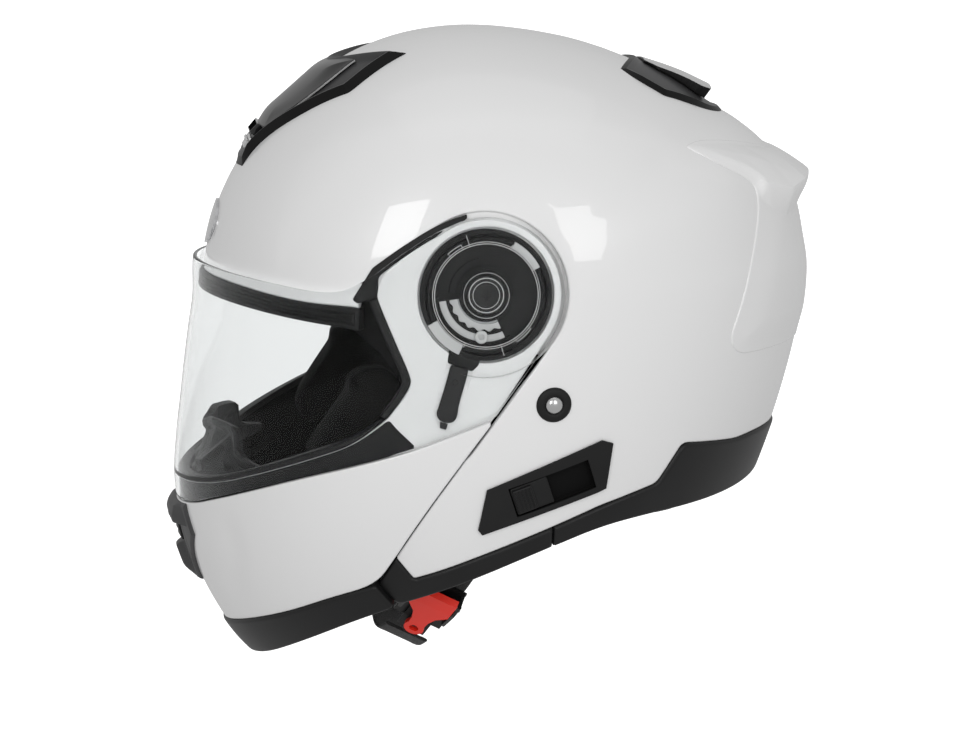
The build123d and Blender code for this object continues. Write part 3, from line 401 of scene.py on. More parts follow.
def solid_sheet(name, sheet, top, bottom, body, materials, replaces=(),
                inner=None, sharp=38.0, faces_mat=None, rim_mat=None):
    """A closed piece between two heights over the surface."""
    n = sheet.normal
    top = np.broadcast_to(np.asarray(top, float), len(n))
    bottom = np.broadcast_to(np.asarray(bottom, float), len(n))
    count = len(n)
    verts = np.concatenate([sheet.pos + n * top[:, None], sheet.pos + n * bottom[:, None]])
    rim = loops(sheet.tri)
    faces = sheet.tri.tolist() + (sheet.tri[:, ::-1] + count).tolist()
    faces += [[b, a, a + count, b + count] for a, b in rim.tolist()]
    mats = None
    if inner is not None:
        k = len(sheet.tri)
        mats = [0] * k + [inner] * k + [inner if inner > 1 else 0] * len(rim)
    if faces_mat is not None or rim_mat is not None:
        k = len(sheet.tri)
        upper = list(faces_mat) if faces_mat is not None else [0] * k
        mats = upper + [inner or 0] * k + [rim_mat or 0] * len(rim)
    return finish_piece(name, new_mesh(name, verts, faces, mats), body, materials,
                        replaces, sharp)


# --------------------------------------------------------- flat-sided pieces
def inset(loop, d):
    """A closed loop moved inwards (counter-clockwise loop) by d."""
    p0, p2 = np.roll(loop, 1, axis=0), np.roll(loop, -1, axis=0)
    a, b = unit(loop - p0), unit(p2 - loop)
    na, nb = np.stack([-a[:, 1], a[:, 0]], 1), np.stack([-b[:, 1], b[:, 0]], 1)
    m = unit(na + nb)
    k = 1.0 / np.maximum(np.sum(m * na, 1), 0.5)
    return loop + m * (d * k)[:, None]


def area_of(loop):
    x, y = loop[:, 0], loop[:, 1]
    return 0.5 * np.sum(x * np.roll(y, -1) - y * np.roll(x, -1))


def ccw(loop):
    return loop if area_of(loop) > 0 else loop[::-1].copy()


def cap(outer, holes):
    """Triangles over a flat area with holes; the vertices keep their order."""
    pts, edges = [], []
    for loop in [outer, *holes]:
        base = len(pts)
        pts += [Vector((float(x), float(y))) for x, y in loop]
        edges += [(base + i, base + (i + 1) % len(loop)) for i in range(len(loop))]
    v, _, f, orig, _, _ = delaunay_2d_cdt(pts, edges, [], 1, 1e-7)
    back = [o[0] if o else None for o in orig]
    centres = np.array([[sum(v[k][c] for k in t) / len(t) for c in (0, 1)] for t in f])
    keep = inside_of(centres, outer) > 0
    for h in holes:
        keep &= inside_of(centres, h) < 0
    return [[back[k] for k in t] for t, ok in zip(f, keep) if ok and all(back[k] is not None for k in t)]


def prism(outer, holes, w0, w1, edge=0.3, low_edge=0.0, steps=4):
    """Vertices (u, v, w) and faces of a plate with rounded upper edges."""
    outer = ccw(np.array(outer, float))
    holes = [ccw(np.array(h, float)) for h in holes]
    rings, top_ids, low_ids = [], [], []
    verts, faces = [], []
    levels = []
    if low_edge:
        for k in range(steps):
            t = math.pi / 2 * k / (steps - 1)
            levels.append((low_edge * (1 - math.sin(t)), w0 + low_edge * (1 - math.cos(t))))
    else:
        levels.append((0.0, w0))
    if edge:
        for k in range(steps):
            t = math.pi / 2 * k / (steps - 1)
            levels.append((edge * (1 - math.cos(t)), w1 - edge * (1 - math.sin(t))))
    else:
        levels.append((0.0, w1))
    for sign, loop in [(1, outer)] + [(-1, h) for h in holes]:
        n, ids = len(loop), []
        for d, w in levels:
            ring = inset(loop, sign * d)
            ids.append(len(verts))
            verts += [(x, y, w) for x, y in ring]
        for a, b in zip(ids[:-1], ids[1:]):
            for i in range(n):
                j = (i + 1) % n
                quad = [a + i, a + j, b + j, b + i]
                faces.append(quad if sign > 0 else quad[::-1])
        rings.append((ids[0], ids[-1], n))
    for which, flip in ((0, True), (1, False)):
        loops2 = [np.array([verts[r[which] + i][:2] for i in range(r[2])]) for r in rings]
        index = [r[which] + i for r in rings for i in range(r[2])]
        for t in cap(loops2[0], loops2[1:]):
            t = [index[k] for k in t]
            p = [verts[k] for k in t]
            turn_ = (p[1][0] - p[0][0]) * (p[2][1] - p[0][1]) - (p[1][1] - p[0][1]) * (p[2][0] - p[0][0])
            if (turn_ < 0) != flip:
                t = t[::-1]
            faces.append(t)
    return np.array(verts), faces


class Build:
    """Collects several shells into one mesh."""

    def __init__(self):
        self.v, self.f, self.m = [], [], []

    def add(self, verts, faces, mat=0, flip=False):
        base = sum(len(x) for x in self.v)
        self.v.append(np.asarray(verts, float))
        for f in faces:
            f = [base + k for k in f]
            self.f.append(f[::-1] if flip else f)
            self.m.append(mat)
        return self

    def mesh(self, name):
        return new_mesh(name, np.concatenate(self.v), self.f, self.m)


def to_side(verts, sign=1.0):
    """(y, z, height) to the wearer's left, or right with sign -1."""
    return np.stack([sign * verts[:, 2], verts[:, 0], verts[:, 1]], 1)


def lathe(profile, n=64):
    """A shape of revolution from (radius, height) points; w is the axis."""
    verts, faces, rows = [], [], []
    for r, h in profile:
        if r < 1e-6:
            rows.append([len(verts)])
            verts.append((0.0, 0.0, h))
        else:
            rows.append(list(range(len(verts), len(verts) + n)))
            for k in range(n):
                t = 2 * math.pi * k / n
                verts.append((r * math.cos(t), r * math.sin(t), h))
    for a, b in zip(rows[:-1], rows[1:]):
        for k in range(n):
            j = (k + 1) % n
            ak, aj, bk, bj = a[k % len(a)], a[j % len(a)], b[k % len(b)], b[j % len(b)]
            f = [ak, aj, bj, bk]
            f = [x for i, x in enumerate(f) if x not in f[:i]]
            if len(f) > 2:
                faces.append(f)
    return np.array(verts), faces


def sector(r0, r1, a0, a1, n=24, wave=None):
    """A bent bar between two radii; wave(t) changes the inner radius."""
    t = np.radians(np.linspace(a0, a1, n))
    outer_ = np.stack([r1 * np.cos(t), r1 * np.sin(t)], 1)
    rr = np.full(n, float(r0)) if wave is None else r0 + wave(np.linspace(0, 1, n))
    inner_ = np.stack([rr * np.cos(t), rr * np.sin(t)], 1)[::-1]
    return ccw(np.concatenate([outer_, inner_]))


# ---------------------------------------------------------------- materials
def material(name, base, rough, metal=0.0, coat=0.0, coat_rough=0.03, spec=0.5,
             grain=0.0, grain_scale=900.0, grain_depth=0.02, tone=0.06, tone_scale=30.0,
             rough_tone=0.06, wide=0.0, wide_scale=60.0, sheen=0.0, weave=None, ior=1.5):
    """Shared recipe: a slight change of tone and gloss, and a fine surface."""
    m = bpy.data.materials.new(name)
    m.use_nodes = True
    nt = m.node_tree
    nt.nodes.clear()
    out = nt.nodes.new("ShaderNodeOutputMaterial")
    b = nt.nodes.new("ShaderNodeBsdfPrincipled")
    nt.links.new(b.outputs[0], out.inputs[0])
    co = nt.nodes.new("ShaderNodeTexCoord")
    b.inputs["Metallic"].default_value = metal
    b.inputs["Coat Weight"].default_value = coat
    b.inputs["Coat Roughness"].default_value = coat_rough
    b.inputs["Specular IOR Level"].default_value = spec
    b.inputs["Sheen Weight"].default_value = sheen
    b.inputs["IOR"].default_value = ior
    n = nt.nodes.new("ShaderNodeTexNoise")
    n.inputs["Scale"].default_value = tone_scale
    n.inputs["Detail"].default_value = 4.0
    nt.links.new(co.outputs["Object"], n.inputs["Vector"])
    ramp = nt.nodes.new("ShaderNodeValToRGB")
    lo = [max(0.0, c * (1 - tone)) for c in base]
    hi = [min(1.0, c * (1 + tone)) for c in base]
    ramp.color_ramp.elements[0].position, ramp.color_ramp.elements[0].color = 0.3, (*lo, 1)
    ramp.color_ramp.elements[1].position, ramp.color_ramp.elements[1].color = 0.7, (*hi, 1)
    nt.links.new(n.outputs["Fac"], ramp.inputs[0])
    nt.links.new(ramp.outputs[0], b.inputs["Base Color"])
    rr = nt.nodes.new("ShaderNodeMapRange")
    rr.inputs["To Min"].default_value = max(0.0, rough - rough_tone)
    rr.inputs["To Max"].default_value = min(1.0, rough + rough_tone)
    nt.links.new(n.outputs["Fac"], rr.inputs[0])
    nt.links.new(rr.outputs[0], b.inputs["Roughness"])
    height = None
    if weave:
        wx, wz, depth = weave
        w1 = nt.nodes.new("ShaderNodeTexWave")
        w1.wave_type, w1.bands_direction = "BANDS", "DIAGONAL"
        w1.inputs["Scale"].default_value = wx
        w2 = nt.nodes.new("ShaderNodeTexWave")
        w2.wave_type, w2.bands_direction = "BANDS", "Z"
        w2.inputs["Scale"].default_value = wz
        for w in (w1, w2):
            nt.links.new(co.outputs["Object"], w.inputs["Vector"])
        mul = nt.nodes.new("ShaderNodeMath")
        mul.operation = "MULTIPLY"
        nt.links.new(w1.outputs["Fac"], mul.inputs[0])
        nt.links.new(w2.outputs["Fac"], mul.inputs[1])
        height, strength = mul.outputs[0], depth
    elif grain:
        g = nt.nodes.new("ShaderNodeTexNoise")
        g.inputs["Scale"].default_value = grain_scale
        g.inputs["Detail"].default_value = 2.0
        nt.links.new(co.outputs["Object"], g.inputs["Vector"])
        height, strength = g.outputs["Fac"], grain
    if height is not None:
        bump = nt.nodes.new("ShaderNodeBump")
        bump.inputs["Strength"].default_value = strength
        bump.inputs["Distance"].default_value = grain_depth * 0.001
        nt.links.new(height, bump.inputs["Height"])
        nt.links.new(bump.outputs[0], b.inputs["Normal"])
    return m


def clear_material(name, tint, rough=0.01, smoke=0.0):
    """Clear sheet: lamps shine through it, and it still shows its gloss."""
    m = bpy.data.materials.new(name)
    m.use_nodes = True
    nt = m.node_tree
    nt.nodes.clear()
    out = nt.nodes.new("ShaderNodeOutputMaterial")
    b = nt.nodes.new("ShaderNodeBsdfPrincipled")
    b.inputs["Base Color"].default_value = (*tint, 1)
    b.inputs["Transmission Weight"].default_value = 1.0
    b.inputs["IOR"].default_value = 1.15
    co = nt.nodes.new("ShaderNodeTexCoord")
    n = nt.nodes.new("ShaderNodeTexNoise")
    n.inputs["Scale"].default_value = 20.0
    nt.links.new(co.outputs["Object"], n.inputs["Vector"])
    rr = nt.nodes.new("ShaderNodeMapRange")
    rr.inputs["To Min"].default_value = rough
    rr.inputs["To Max"].default_value = rough + 0.015
    nt.links.new(n.outputs["Fac"], rr.inputs[0])
    nt.links.new(rr.outputs[0], b.inputs["Roughness"])
    clear = nt.nodes.new("ShaderNodeBsdfTransparent")
    clear.inputs[0].default_value = (*[c ** 0.5 for c in tint], 1)
    path = nt.nodes.new("ShaderNodeLightPath")
    mix = nt.nodes.new("ShaderNodeMixShader")
    nt.links.new(path.outputs["Is Shadow Ray"], mix.inputs[0])
    nt.links.new(b.outputs[0], mix.inputs[1])
    nt.links.new(clear.outputs[0], mix.inputs[2])
    nt.links.new(mix.outputs[0], out.inputs[0])
    return m


M_SHELL = material("shell_paint", (0.79, 0.79, 0.79), 0.35, coat=0.8, coat_rough=0.03,
                   tone=0.004, tone_scale=12.0, rough_tone=0.012)
M_ARM = material("arm_plastic", (0.78, 0.78, 0.78), 0.32, coat=0.6, coat_rough=0.08,
                 tone=0.015, grain=0.08, grain_scale=700.0)
M_GLOSS = material("gloss_black_plastic", (0.008, 0.008, 0.0085), 0.16, coat=0.3, spec=0.4,
                   coat_rough=0.05, tone=0.2, rough_tone=0.03, grain=0.06, grain_scale=500.0)
M_SATIN = material("satin_black_plastic", (0.009, 0.009, 0.0092), 0.42, tone=0.2, spec=0.3,
                   rough_tone=0.05, grain=0.25, grain_scale=1500.0, grain_depth=0.03)
M_MATTE = material("matte_black_plastic", (0.008, 0.008, 0.0082), 0.5, tone=0.2, spec=0.3,
                   grain=0.35, grain_scale=1800.0, grain_depth=0.04)
M_GEAR = material("gear_black", (0.005, 0.005, 0.005), 0.34, tone=0.2, spec=0.22,
                  rough_tone=0.03)
M_GREY = material("grey_plastic", (0.012, 0.012, 0.0125), 0.5, tone=0.12, spec=0.15, grain=0.25,
                  grain_scale=1500.0, grain_depth=0.03)
M_WINDOW = material("pale_plastic", (0.55, 0.55, 0.55), 0.38, tone=0.05, grain=0.1,
                    grain_scale=900.0)
M_RUBBER = material("black_rubber", (0.007, 0.007, 0.007), 0.55, tone=0.2, spec=0.3, grain=0.3,
                    grain_scale=2200.0, grain_depth=0.03)
M_LINING = material("knit_lining", (0.004, 0.004, 0.004), 0.95, tone=0.25, sheen=0.0, spec=0.1,
                    weave=(260.0, 420.0, 0.7), grain_depth=0.25)
M_EPS = material("foam_beads", (0.004, 0.004, 0.004), 0.85, tone=0.2, spec=0.1, grain=0.15,
                 grain_scale=420.0, grain_depth=0.05)
M_WEB = material("webbing", (0.012, 0.012, 0.012), 0.8, tone=0.3, sheen=0.15,
                 weave=(520.0, 760.0, 0.9), grain_depth=0.35)
M_RED = material("red_plastic", (0.86, 0.03, 0.015), 0.35, coat=0.15, tone=0.05, spec=0.3,
                 grain=0.15, grain_scale=1200.0)
M_STEEL = material("brushed_steel", (0.62, 0.62, 0.62), 0.24, metal=1.0, tone=0.08,
                   rough_tone=0.06, grain=0.1, grain_scale=1600.0)
M_BLACK_STEEL = material("black_steel", (0.02, 0.02, 0.02), 0.35, metal=0.6, tone=0.15,
                         grain=0.15, grain_scale=1600.0)
M_BADGE = material("badge_enamel", (0.50, 0.50, 0.51), 0.25, metal=0.6, coat=0.8,
                   tone=0.05, grain=0.05)
M_VENT = material("vent_black", (0.0045, 0.0045, 0.0046), 0.4, tone=0.15, spec=0.15,
                  rough_tone=0.03)
# Lighter grey for the vents' inner facets: a painted reflection on the black vent plastic.
M_VENT_PAINTED_REFLECTION = material("vent_painted_reflection_face", (0.045, 0.045, 0.046), 0.4, tone=0.08, spec=0.25,
                      grain=0.1, grain_scale=1500.0)
M_SLIDER = material("slider_black", (0.012, 0.012, 0.012), 0.3, coat=0.2, tone=0.15, spec=0.3,
                    rough_tone=0.03)
M_RING = material("bright_ring", (0.62, 0.62, 0.62), 0.3, tone=0.05, grain=0.05)
M_MASK = material("mask_rubber", (0.02, 0.02, 0.0205), 0.55, tone=0.15, spec=0.25, grain=0.2,
                  grain_scale=1500.0, grain_depth=0.03)
M_COVER = material("vent_cover_grey", (0.05, 0.05, 0.051), 0.45, tone=0.08, spec=0.3, grain=0.15,
                   grain_scale=1500.0, grain_depth=0.02)
# Pale grey for the forehead slider's rim: a painted highlight along its edge.
M_PAINTED_EDGE_HIGHLIGHT = material("painted_edge_highlight", (0.40, 0.40, 0.40), 0.3, tone=0.05, grain=0.05)
M_FLAP = material("pale_flap", (0.50, 0.50, 0.50), 0.25, coat=0.4, tone=0.05, grain=0.05)
M_CLEAR = clear_material("clear_visor", (0.78, 0.79, 0.79))
# Opaque dark grey for the visor's cut edge: painted shade where the clear sheet is seen edge on.
M_VISOR_EDGE_SHADE = material("visor_edge_painted_shade", (0.20, 0.21, 0.215), 0.25, tone=0.1, spec=0.6,
                        grain=0.08, grain_scale=900.0)
M_SMOKE = clear_material("smoke_visor", (0.16, 0.16, 0.17))
# Black for the inside of the shells, and painted shade in the gaps round the chin bar's arm, where the
# real shell is white.
M_INSIDE_AND_GAP_SHADE = material("shell_inside_and_painted_gap_shade", (0.005, 0.005, 0.005), 0.8, tone=0.2, spec=0.12, grain=0.1,
                    grain_scale=900.0)

FOR_SLOT = {"shell_white": M_SHELL, "gloss_black": M_GLOSS, "satin_black": M_SATIN,
            "matte_black": M_MATTE, "grey_plastic": M_GREY, "clear": M_CLEAR,
            "smoke": M_SMOKE, "eps": M_EPS, "lining": M_LINING, "rubber": M_RUBBER,
            "steel": M_STEEL, "webbing": M_WEB, "red": M_RED, "badge": M_BADGE}

# ------------------------------------------------- side-view outlines (Y, Z)
GAP = [(4.8, -56.3), (-7.3, -72.9), (-20.6, -91.7), (-31.7, -108.7),
       (-40.5, -123.8), (-48.4, -136.8)]
VISOR_LOW = [(4.8, -56.3), (-14.2, -63.4), (-33.0, -70.7), (-59.0, -78.2),
             (-83.4, -85.3), (-105.8, -94.1), (-123.9, -103.1),
             (-132.2, -108.5), (-152.0, -117.0)]
VISOR_TOP = [(-22.6, 28.8), (-32.6, 22.6), (-41.0, 16.9), (-50.0, 9.8),
             (-61.6, 2.3), (-70.4, 0.3), (-80.4, 0.7), (-94.3, 2.4),
             (-108.8, 3.9), (-123.4, 5.4), (-152.0, 7.0)]
EYE_SIDE = [(-50.0, -0.8), (-47.6, -6.8), (-41.8, -20.4), (-34.4, -36.6),
            (-34.2, -41.0), (-38.2, -47.8), (-45.2, -57.0)]
SILL_TOP = [(-60.3, -69.2), (-78.5, -76.2), (-103.5, -86.2), (-126.0, -96.5),
            (-152.0, -104.0)]
BROW_EDGE = [(-152.0, -0.2), (-126.0, -0.4), (-119.7, -0.8), (-108.6, -1.9),
             (-91.5, -4.2), (-78.0, -5.6), (-61.8, -6.0), (-55.8, -6.6)]
BROW_LOW = [(-152.0, -8.6), (-126.0, -8.9), (-117.6, -9.7), (-108.8, -10.6),
            (-91.6, -12.6), (-78.1, -14.1), (-61.8, -15.7), (-55.8, -16.9)]
CHIN_TRIM_TOP = [(-48.4, -136.8), (-69.5, -144.9), (-87.5, -154.5),
                 (-101.0, -161.2), (-112.4, -167.8), (-119.6, -174.2),
                 (-150.0, -196.0)]
CHIN_TRIM_LOW = [(-38.9, -147.8), (-60.1, -157.6), (-82.5, -171.6),
                 (-98.2, -183.8), (-106.0, -189.0), (-130.0, -203.0)]
TRIM_TOP_FRONT = [(-39.9, -123.5), (-31.6, -134.0), (-19.8, -129.9),
                  (-1.6, -122.7), (16.8, -115.5), (32.0, -109.4)]
TRIM_LOW_FRONT = [(-47.6, -137.4), (-38.3, -147.8), (-19.4, -140.4),
                  (-1.2, -133.0), (17.2, -125.2), (32.0, -119.2)]
TRIM_TOP_REAR = [(32.0, -109.4), (54.0, -100.4), (81.7, -91.8),
                 (93.9, -73.4), (123.3, -76.6), (139.4, -75.3),
                 (182.0, -76.0)]
TRIM_LOW_REAR = [(32.0, -119.2), (54.6, -110.8), (76.8, -107.0),
                 (96.0, -105.6), (116.0, -104.0), (136.0, -101.4),
                 (150.0, -97.0), (182.0, -84.0)]
POCKET_R, ARM_R, LOBE_R, GEAR_R = 37.3, 34.4, 35.4, 29.8
RIVET = (30.8, -50.5)


def moved(points, dy, dz):
    return [(y + dy, z + dz) for y, z in points]


# -------------------------------------------------------------- outer shell
# Where the shell ends in front of the pocket: at the brow, then behind the
# chin bar's gap and over the trims.
front_edge = BROW_EDGE + [(-50.5, -13.0), (-45.0, -24.0), (-37.0, -34.0), (-31.0, -46.0),
                          (-26.0, -58.0), (-16.0, -66.5), (-7.0, -71.0)]
gap_edge = moved(GAP[1:5], 0.6, 0.3)
shell_pts = front_edge + gap_edge + TRIM_TOP_FRONT[1:] + TRIM_TOP_REAR[1:] + [
    (182.0, 160.0), (-152.0, 160.0)]
n_front, n_gap = len(front_edge), len(gap_edge)
sharp_at = {0: 0, n_front - 1: 1.0, n_front + n_gap - 1: 1.0}
first = n_front + n_gap
sharp_at[first] = 1.2                       # lowest corner of the front trim
rear0 = first + len(TRIM_TOP_FRONT) - 1
for k in range(rear0, rear0 + 4):
    sharp_at[k] = 3.0
sharp_at[len(shell_pts) - 1] = 0
sharp_at[len(shell_pts) - 2] = 0
sharp_at[len(shell_pts) - 3] = 0
SHELL_OUT = outline(shell_pts, sharp_at)
pocket = side(circle(POCKET_R))
# In front of each pivot the chin bar's arm lies in place of the shell.
ARM_ZONE = outline([(-49.5, 1.0), (-56.0, -3.2), (-58.5, -14.0), (-64.0, -46.0),
                    (-64.0, -91.5), (-33.0, -82.8), (-9.5, -76.4), (-6.6, -73.3),
                    (5.4, -56.6), (30.3, -21.6), (0.0, 0.0)], {k: 1.0 for k in range(11)})
# The slider of the sun shield runs in a slot low on the left side.
TILT_Y, TILT_Z = 0.9454, 0.3259


def in_track(u, v):
    return (31.0 + TILT_Y * u - TILT_Z * v, -90.0 + TILT_Z * u + TILT_Y * v)


def near_side(field):
    return lambda p: np.where(p[:, 0] > 0, field(p), -60.0)


TRACK_HOLE = outline([in_track(-19.5, -7.4), in_track(19.5, -7.4), in_track(19.5, 7.4),
                      in_track(-19.5, 7.4)], {k: 2.0 for k in range(4)})

# A soft crease that runs from the forehead over the side to the spoiler.
CREASE = np.array(outline([(-112.0, 20.0), (-106.0, 34.0), (-90.0, 52.0), (-66.0, 66.5),
                           (-36.0, 75.0), (0.0, 77.5), (36.0, 76.0), (70.0, 70.0),
                           (98.0, 62.0), (98.1, 61.9)], {0: 0, 8: 0, 9: 0}))[:-1]


def crease_height(p):
    d = line_gap(p[:, 1:3], CREASE)
    ends = smooth((p[:, 1] + 112.0) / 60.0) * smooth((104.0 - p[:, 1]) / 46.0)
    return 1.25 * np.exp(-np.sqrt(d * d + 4.0) / 17.0) * ends


def shell_sheet(na=560, nu=190, u0=10.0, u1=170.0):
    s = Sheet(shell_point, 0, 360, na, u0, u1, nu)
    return s


s = shell_sheet()
s.field("edge", both(side(SHELL_OUT), outside(pocket), outside(side(ARM_ZONE)),
                     outside(near_side(side(inset(ccw(TRACK_HOLE), -1.2))))))
s.trim("edge", 0.9)
drop = rounding(s.vals["edge"], 0.9)
solid_sheet("outer_shell_skin", s, crease_height(s.pos) - drop, -3.5, "shell",
            [M_SHELL, M_INSIDE_AND_GAP_SHADE], "outer_shell", inner=1)

# ------------------------------------------------------------ under the arm
for sign, tag in ((1, "left"), (-1, "right")):
    b = Build()
    n = 120
    t = np.arange(n) * 2 * np.pi / n
    q = direction(POCKET_R * np.cos(t), POCKET_R * np.sin(t), shell_radius, sign)
    rim = shell_point(q)
    rows = [rim - normals_at(shell_point, q) * 0.5]
    for r, x in ((POCKET_R, None), (POCKET_R, 114.6), (POCKET_R - 0.6, 114.0), (30.0, 114.0),
                 (5.2, 114.0), (5.2, 110.0)):
        ring = np.stack([np.full(n, sign * (x or 0.0)), r * np.cos(t), r * np.sin(t)], 1)
        if x is None:
            ring[:, 0] = sign * np.minimum(np.abs(rim[:, 0]) - 1.0, 118.0)
        rows.append(ring)
    faces = []
    for k in range(len(rows) - 1):
        for i in range(n):
            j = (i + 1) % n
            faces.append([k * n + i, k * n + j, (k + 1) * n + j, (k + 1) * n + i])
    b.add(np.concatenate(rows), faces, flip=sign < 0)
    o = finish_piece(f"pivot_pocket_{tag}", b.mesh("pocket"), "shell", M_SHELL,
                     "outer_shell")
s = Sheet(front_point, 175, 320, 150, 8, 60, 60)
FLANGE = outline([(16.0, -70.5), (-9.5, -77.2), (-33.0, -83.6), (-38.0, -92.0),
                  (-47.0, -108.5), (-54.5, -121.0), (-58.0, -129.0), (-49.5, -136.6),
                  (-39.9, -123.5), (-31.6, -134.0), (-19.8, -129.9), (-8.0, -125.3)],
                 {k: 1.0 for k in range(12)})
PAD = outline([(-34.0, -14.0), (-45.0, -24.0), (-36.5, -36.0), (-30.5, -48.0),
               (-25.5, -60.0), (-15.5, -68.5), (-6.0, -72.5), (5.9, -56.0),
               (31.0, -21.0), (20.0, 10.0)], {k: 1.0 for k in range(10)})
# The arm's seat and the flange behind the chin bar's gap are painted black: painted shade in the gaps,
# where the shell itself stays white.
for sign, tag in ((1, "left"), (-1, "right")):
    u = (8, 60) if sign > 0 else (120, 172)
    s = Sheet(front_point, 175, 340, 160, *u, 60)
    s.field("edge", both(side(PAD), outside(pocket))).trim("edge", 0.5)
    solid_sheet(f"arm_seat_{tag}", s, -7.8 - rounding(s.vals["edge"], 0.5), -10.5, "shell",
                M_INSIDE_AND_GAP_SHADE, "outer_shell")
    s = Sheet(front_point, 215, 320, 110, *u, 60)
    s.field("edge", side(FLANGE)).trim("edge", 0.5)
    solid_sheet(f"gap_flange_{tag}", s, -4.0 - rounding(s.vals["edge"], 0.5), -7.0, "shell",
                M_INSIDE_AND_GAP_SHADE, "outer_shell")

# ----------------------------------------------------------------- chin bar
chin_pts = ([(4.1, -57.0)] + moved(VISOR_LOW[1:], 0.0, -0.5) + [(-152.0, -197.5)]
            + CHIN_TRIM_TOP[1:-1][::-1] + moved(GAP[::-1][:-1], -0.6, -0.3))
chin_sharp = {0: 0.8, 8: 0, 9: 0}
CHIN_OUT = outline(chin_pts, chin_sharp)
COVER = outline([(-31.5, -104.0), (31.5, -104.0), (31.8, -115.0), (33.6, -125.5), (27.0, -131.5),
                 (18.5, -140.0), (8.0, -153.0), (-8.0, -153.0), (-18.5, -140.0), (-27.0, -131.5),
                 (-33.6, -125.5), (-31.8, -115.0)], {k: 0.6 for k in range(12)})


def seen_from_front(poly):
    return lambda p: np.where(p[:, 1] < -60, inside_of(p[:, [0, 2]], poly), -60.0)


CHIN_LINE = np.array([(-117.0, -104.0), (-115.5, -114.0), (-113.0, -128.0), (-112.6, -142.0),
                      (-112.2, -158.0)])


def chin_crease(p):
    d = line_gap(p[:, 1:3], CHIN_LINE)
    ends = smooth((p[:, 2] + 168.0) / 26.0) * smooth((-104.0 - p[:, 2]) / 18.0)
    front = smooth((-80.0 - p[:, 1]) / 30.0)
    return -0.9 * np.exp(-(d / 5.0) ** 2) * ends * front


s = Sheet(front_point, 195, 300, 300, 8, 172, 230)
s.field("edge", side(CHIN_OUT)).trim("edge", 0.8)
solid_sheet("chin_bar_skin", s, chin_crease(s.pos) - rounding(s.vals["edge"], 0.8), -3.2,
            "chin_bar", [M_SHELL, M_INSIDE_AND_GAP_SHADE], "chin_bar_shell", inner=1)

# Chin vent: a hood over a slot, a central rib, and the shutter behind them.
SLOT = outline([(-15.0, -121.0), (15.0, -121.0), (13.0, -133.0), (-13.0, -133.0)],
               {k: 1.5 for k in range(4)})
s = Sheet(front_point, 205, 235, 170, 62, 118, 260)
s.field("edge", both(seen_from_front(COVER), lambda p: inside_of(p[:, 1:3], CHIN_OUT) - 0.6,
                     outside(seen_from_front(SLOT))))
s.field("hood", lambda p: p[:, 2] + 119.0 + 0.10 * np.abs(p[:, 0]))
s.trim("edge", 0.4, (1.0, 0.4))
s.cut("hood", 0.0, keep=False).cut("hood", -1.4, keep=False).cut("hood", 3.0, keep=False)
d, hz, ax = s.vals["edge"], s.vals["hood"], np.abs(s.pos[:, 0])
hood = np.where(hz > 3.0, 5.4 - 3.6 * np.clip((hz - 3.0) / 9.0, 0, 1), np.where(
    hz > 0, 5.4, np.where(hz > -1.4, 5.4 + 2.6 * hz, 1.8)))
rib = 4.2 * smooth((9.0 - ax) / 5.0) * smooth((s.pos[:, 2] + 154.0) / 11.0) * smooth(
    (-132.0 - s.pos[:, 2]) / 3.0)
top = np.maximum(hood * np.clip((33.0 - ax) / 14.0, 0, 1), 1.6) + rib
solid_sheet("chin_vent_front", s, top * np.clip(0.35 + d / 2.0, 0, 1) - rounding(d, 0.4), -0.6,
            "chin_bar", M_COVER, "chin_vent_cover", sharp=26.0)
s = Sheet(front_point, 210, 230, 90, 78, 102, 110)
s.field("edge", seen_from_front(outline([(-14.2, -121.6), (14.2, -121.6), (13.4, -131.4),
                                         (-13.4, -131.4)], {k: 1.0 for k in range(4)})))
s.trim("edge", 0.4)
ribs = 0.5 * np.maximum(0, np.cos((s.pos[:, 2] + 126.0) * 2 * np.pi / 3.2))
solid_sheet("chin_shutter", s, 2.6 + ribs * smooth(s.vals["edge"] / 1.5) - rounding(s.vals["edge"], 0.4),
            0.1, "chin_vent", M_MATTE, "chin_vent_shutter")

ARM_SIDE = ([(-1.0, 34.2), (-12.2, 31.4), (-21.2, 27.4), (-31.6, 21.4), (-39.8, 15.8),
             (-48.6, 8.8)] + EYE_SIDE + SILL_TOP + [(-152.0, -125.0)]
            + moved(VISOR_LOW[1:-1][::-1], 0.0, -8.0)
            + [(-4.8, -66.5), (2.8, -58.4), (28.8, -18.8), (12.0, -10.0), (8.0, 20.0)])
arm_sharp = {6: 2.0, 10: 3.0, 11: 3.0, 12: 2.0, 17: 0, 18: 0, 26: 2.0, 27: 1.5, 28: 2.0}
ARM_OUTLINE = outline(ARM_SIDE, arm_sharp)
LEVER_ROOM = outline([(-17.6, -29.0), (-5.5, -30.0), (-6.4, -36.5), (-9.3, -45.8),
                      (-21.5, -43.6), (-19.0, -38.0)], {k: 1.0 for k in range(6)})
arm_field = both(either(side(ARM_OUTLINE), side(circle(ARM_R))), outside(side(circle(31.0))))
s = Sheet(front_point, 0, 360, 360, 6, 174, 230)
s.field("edge", arm_field).field("room", outside(side(LEVER_ROOM)))
s.trim("edge", 0.6).cut("room")
solid_sheet("chin_bar_arm", s, -2.8 - rounding(s.vals["edge"], 0.6), -5.6, "chin_bar",
            [M_ARM, M_INSIDE_AND_GAP_SHADE], "chin_bar_shell", inner=1)
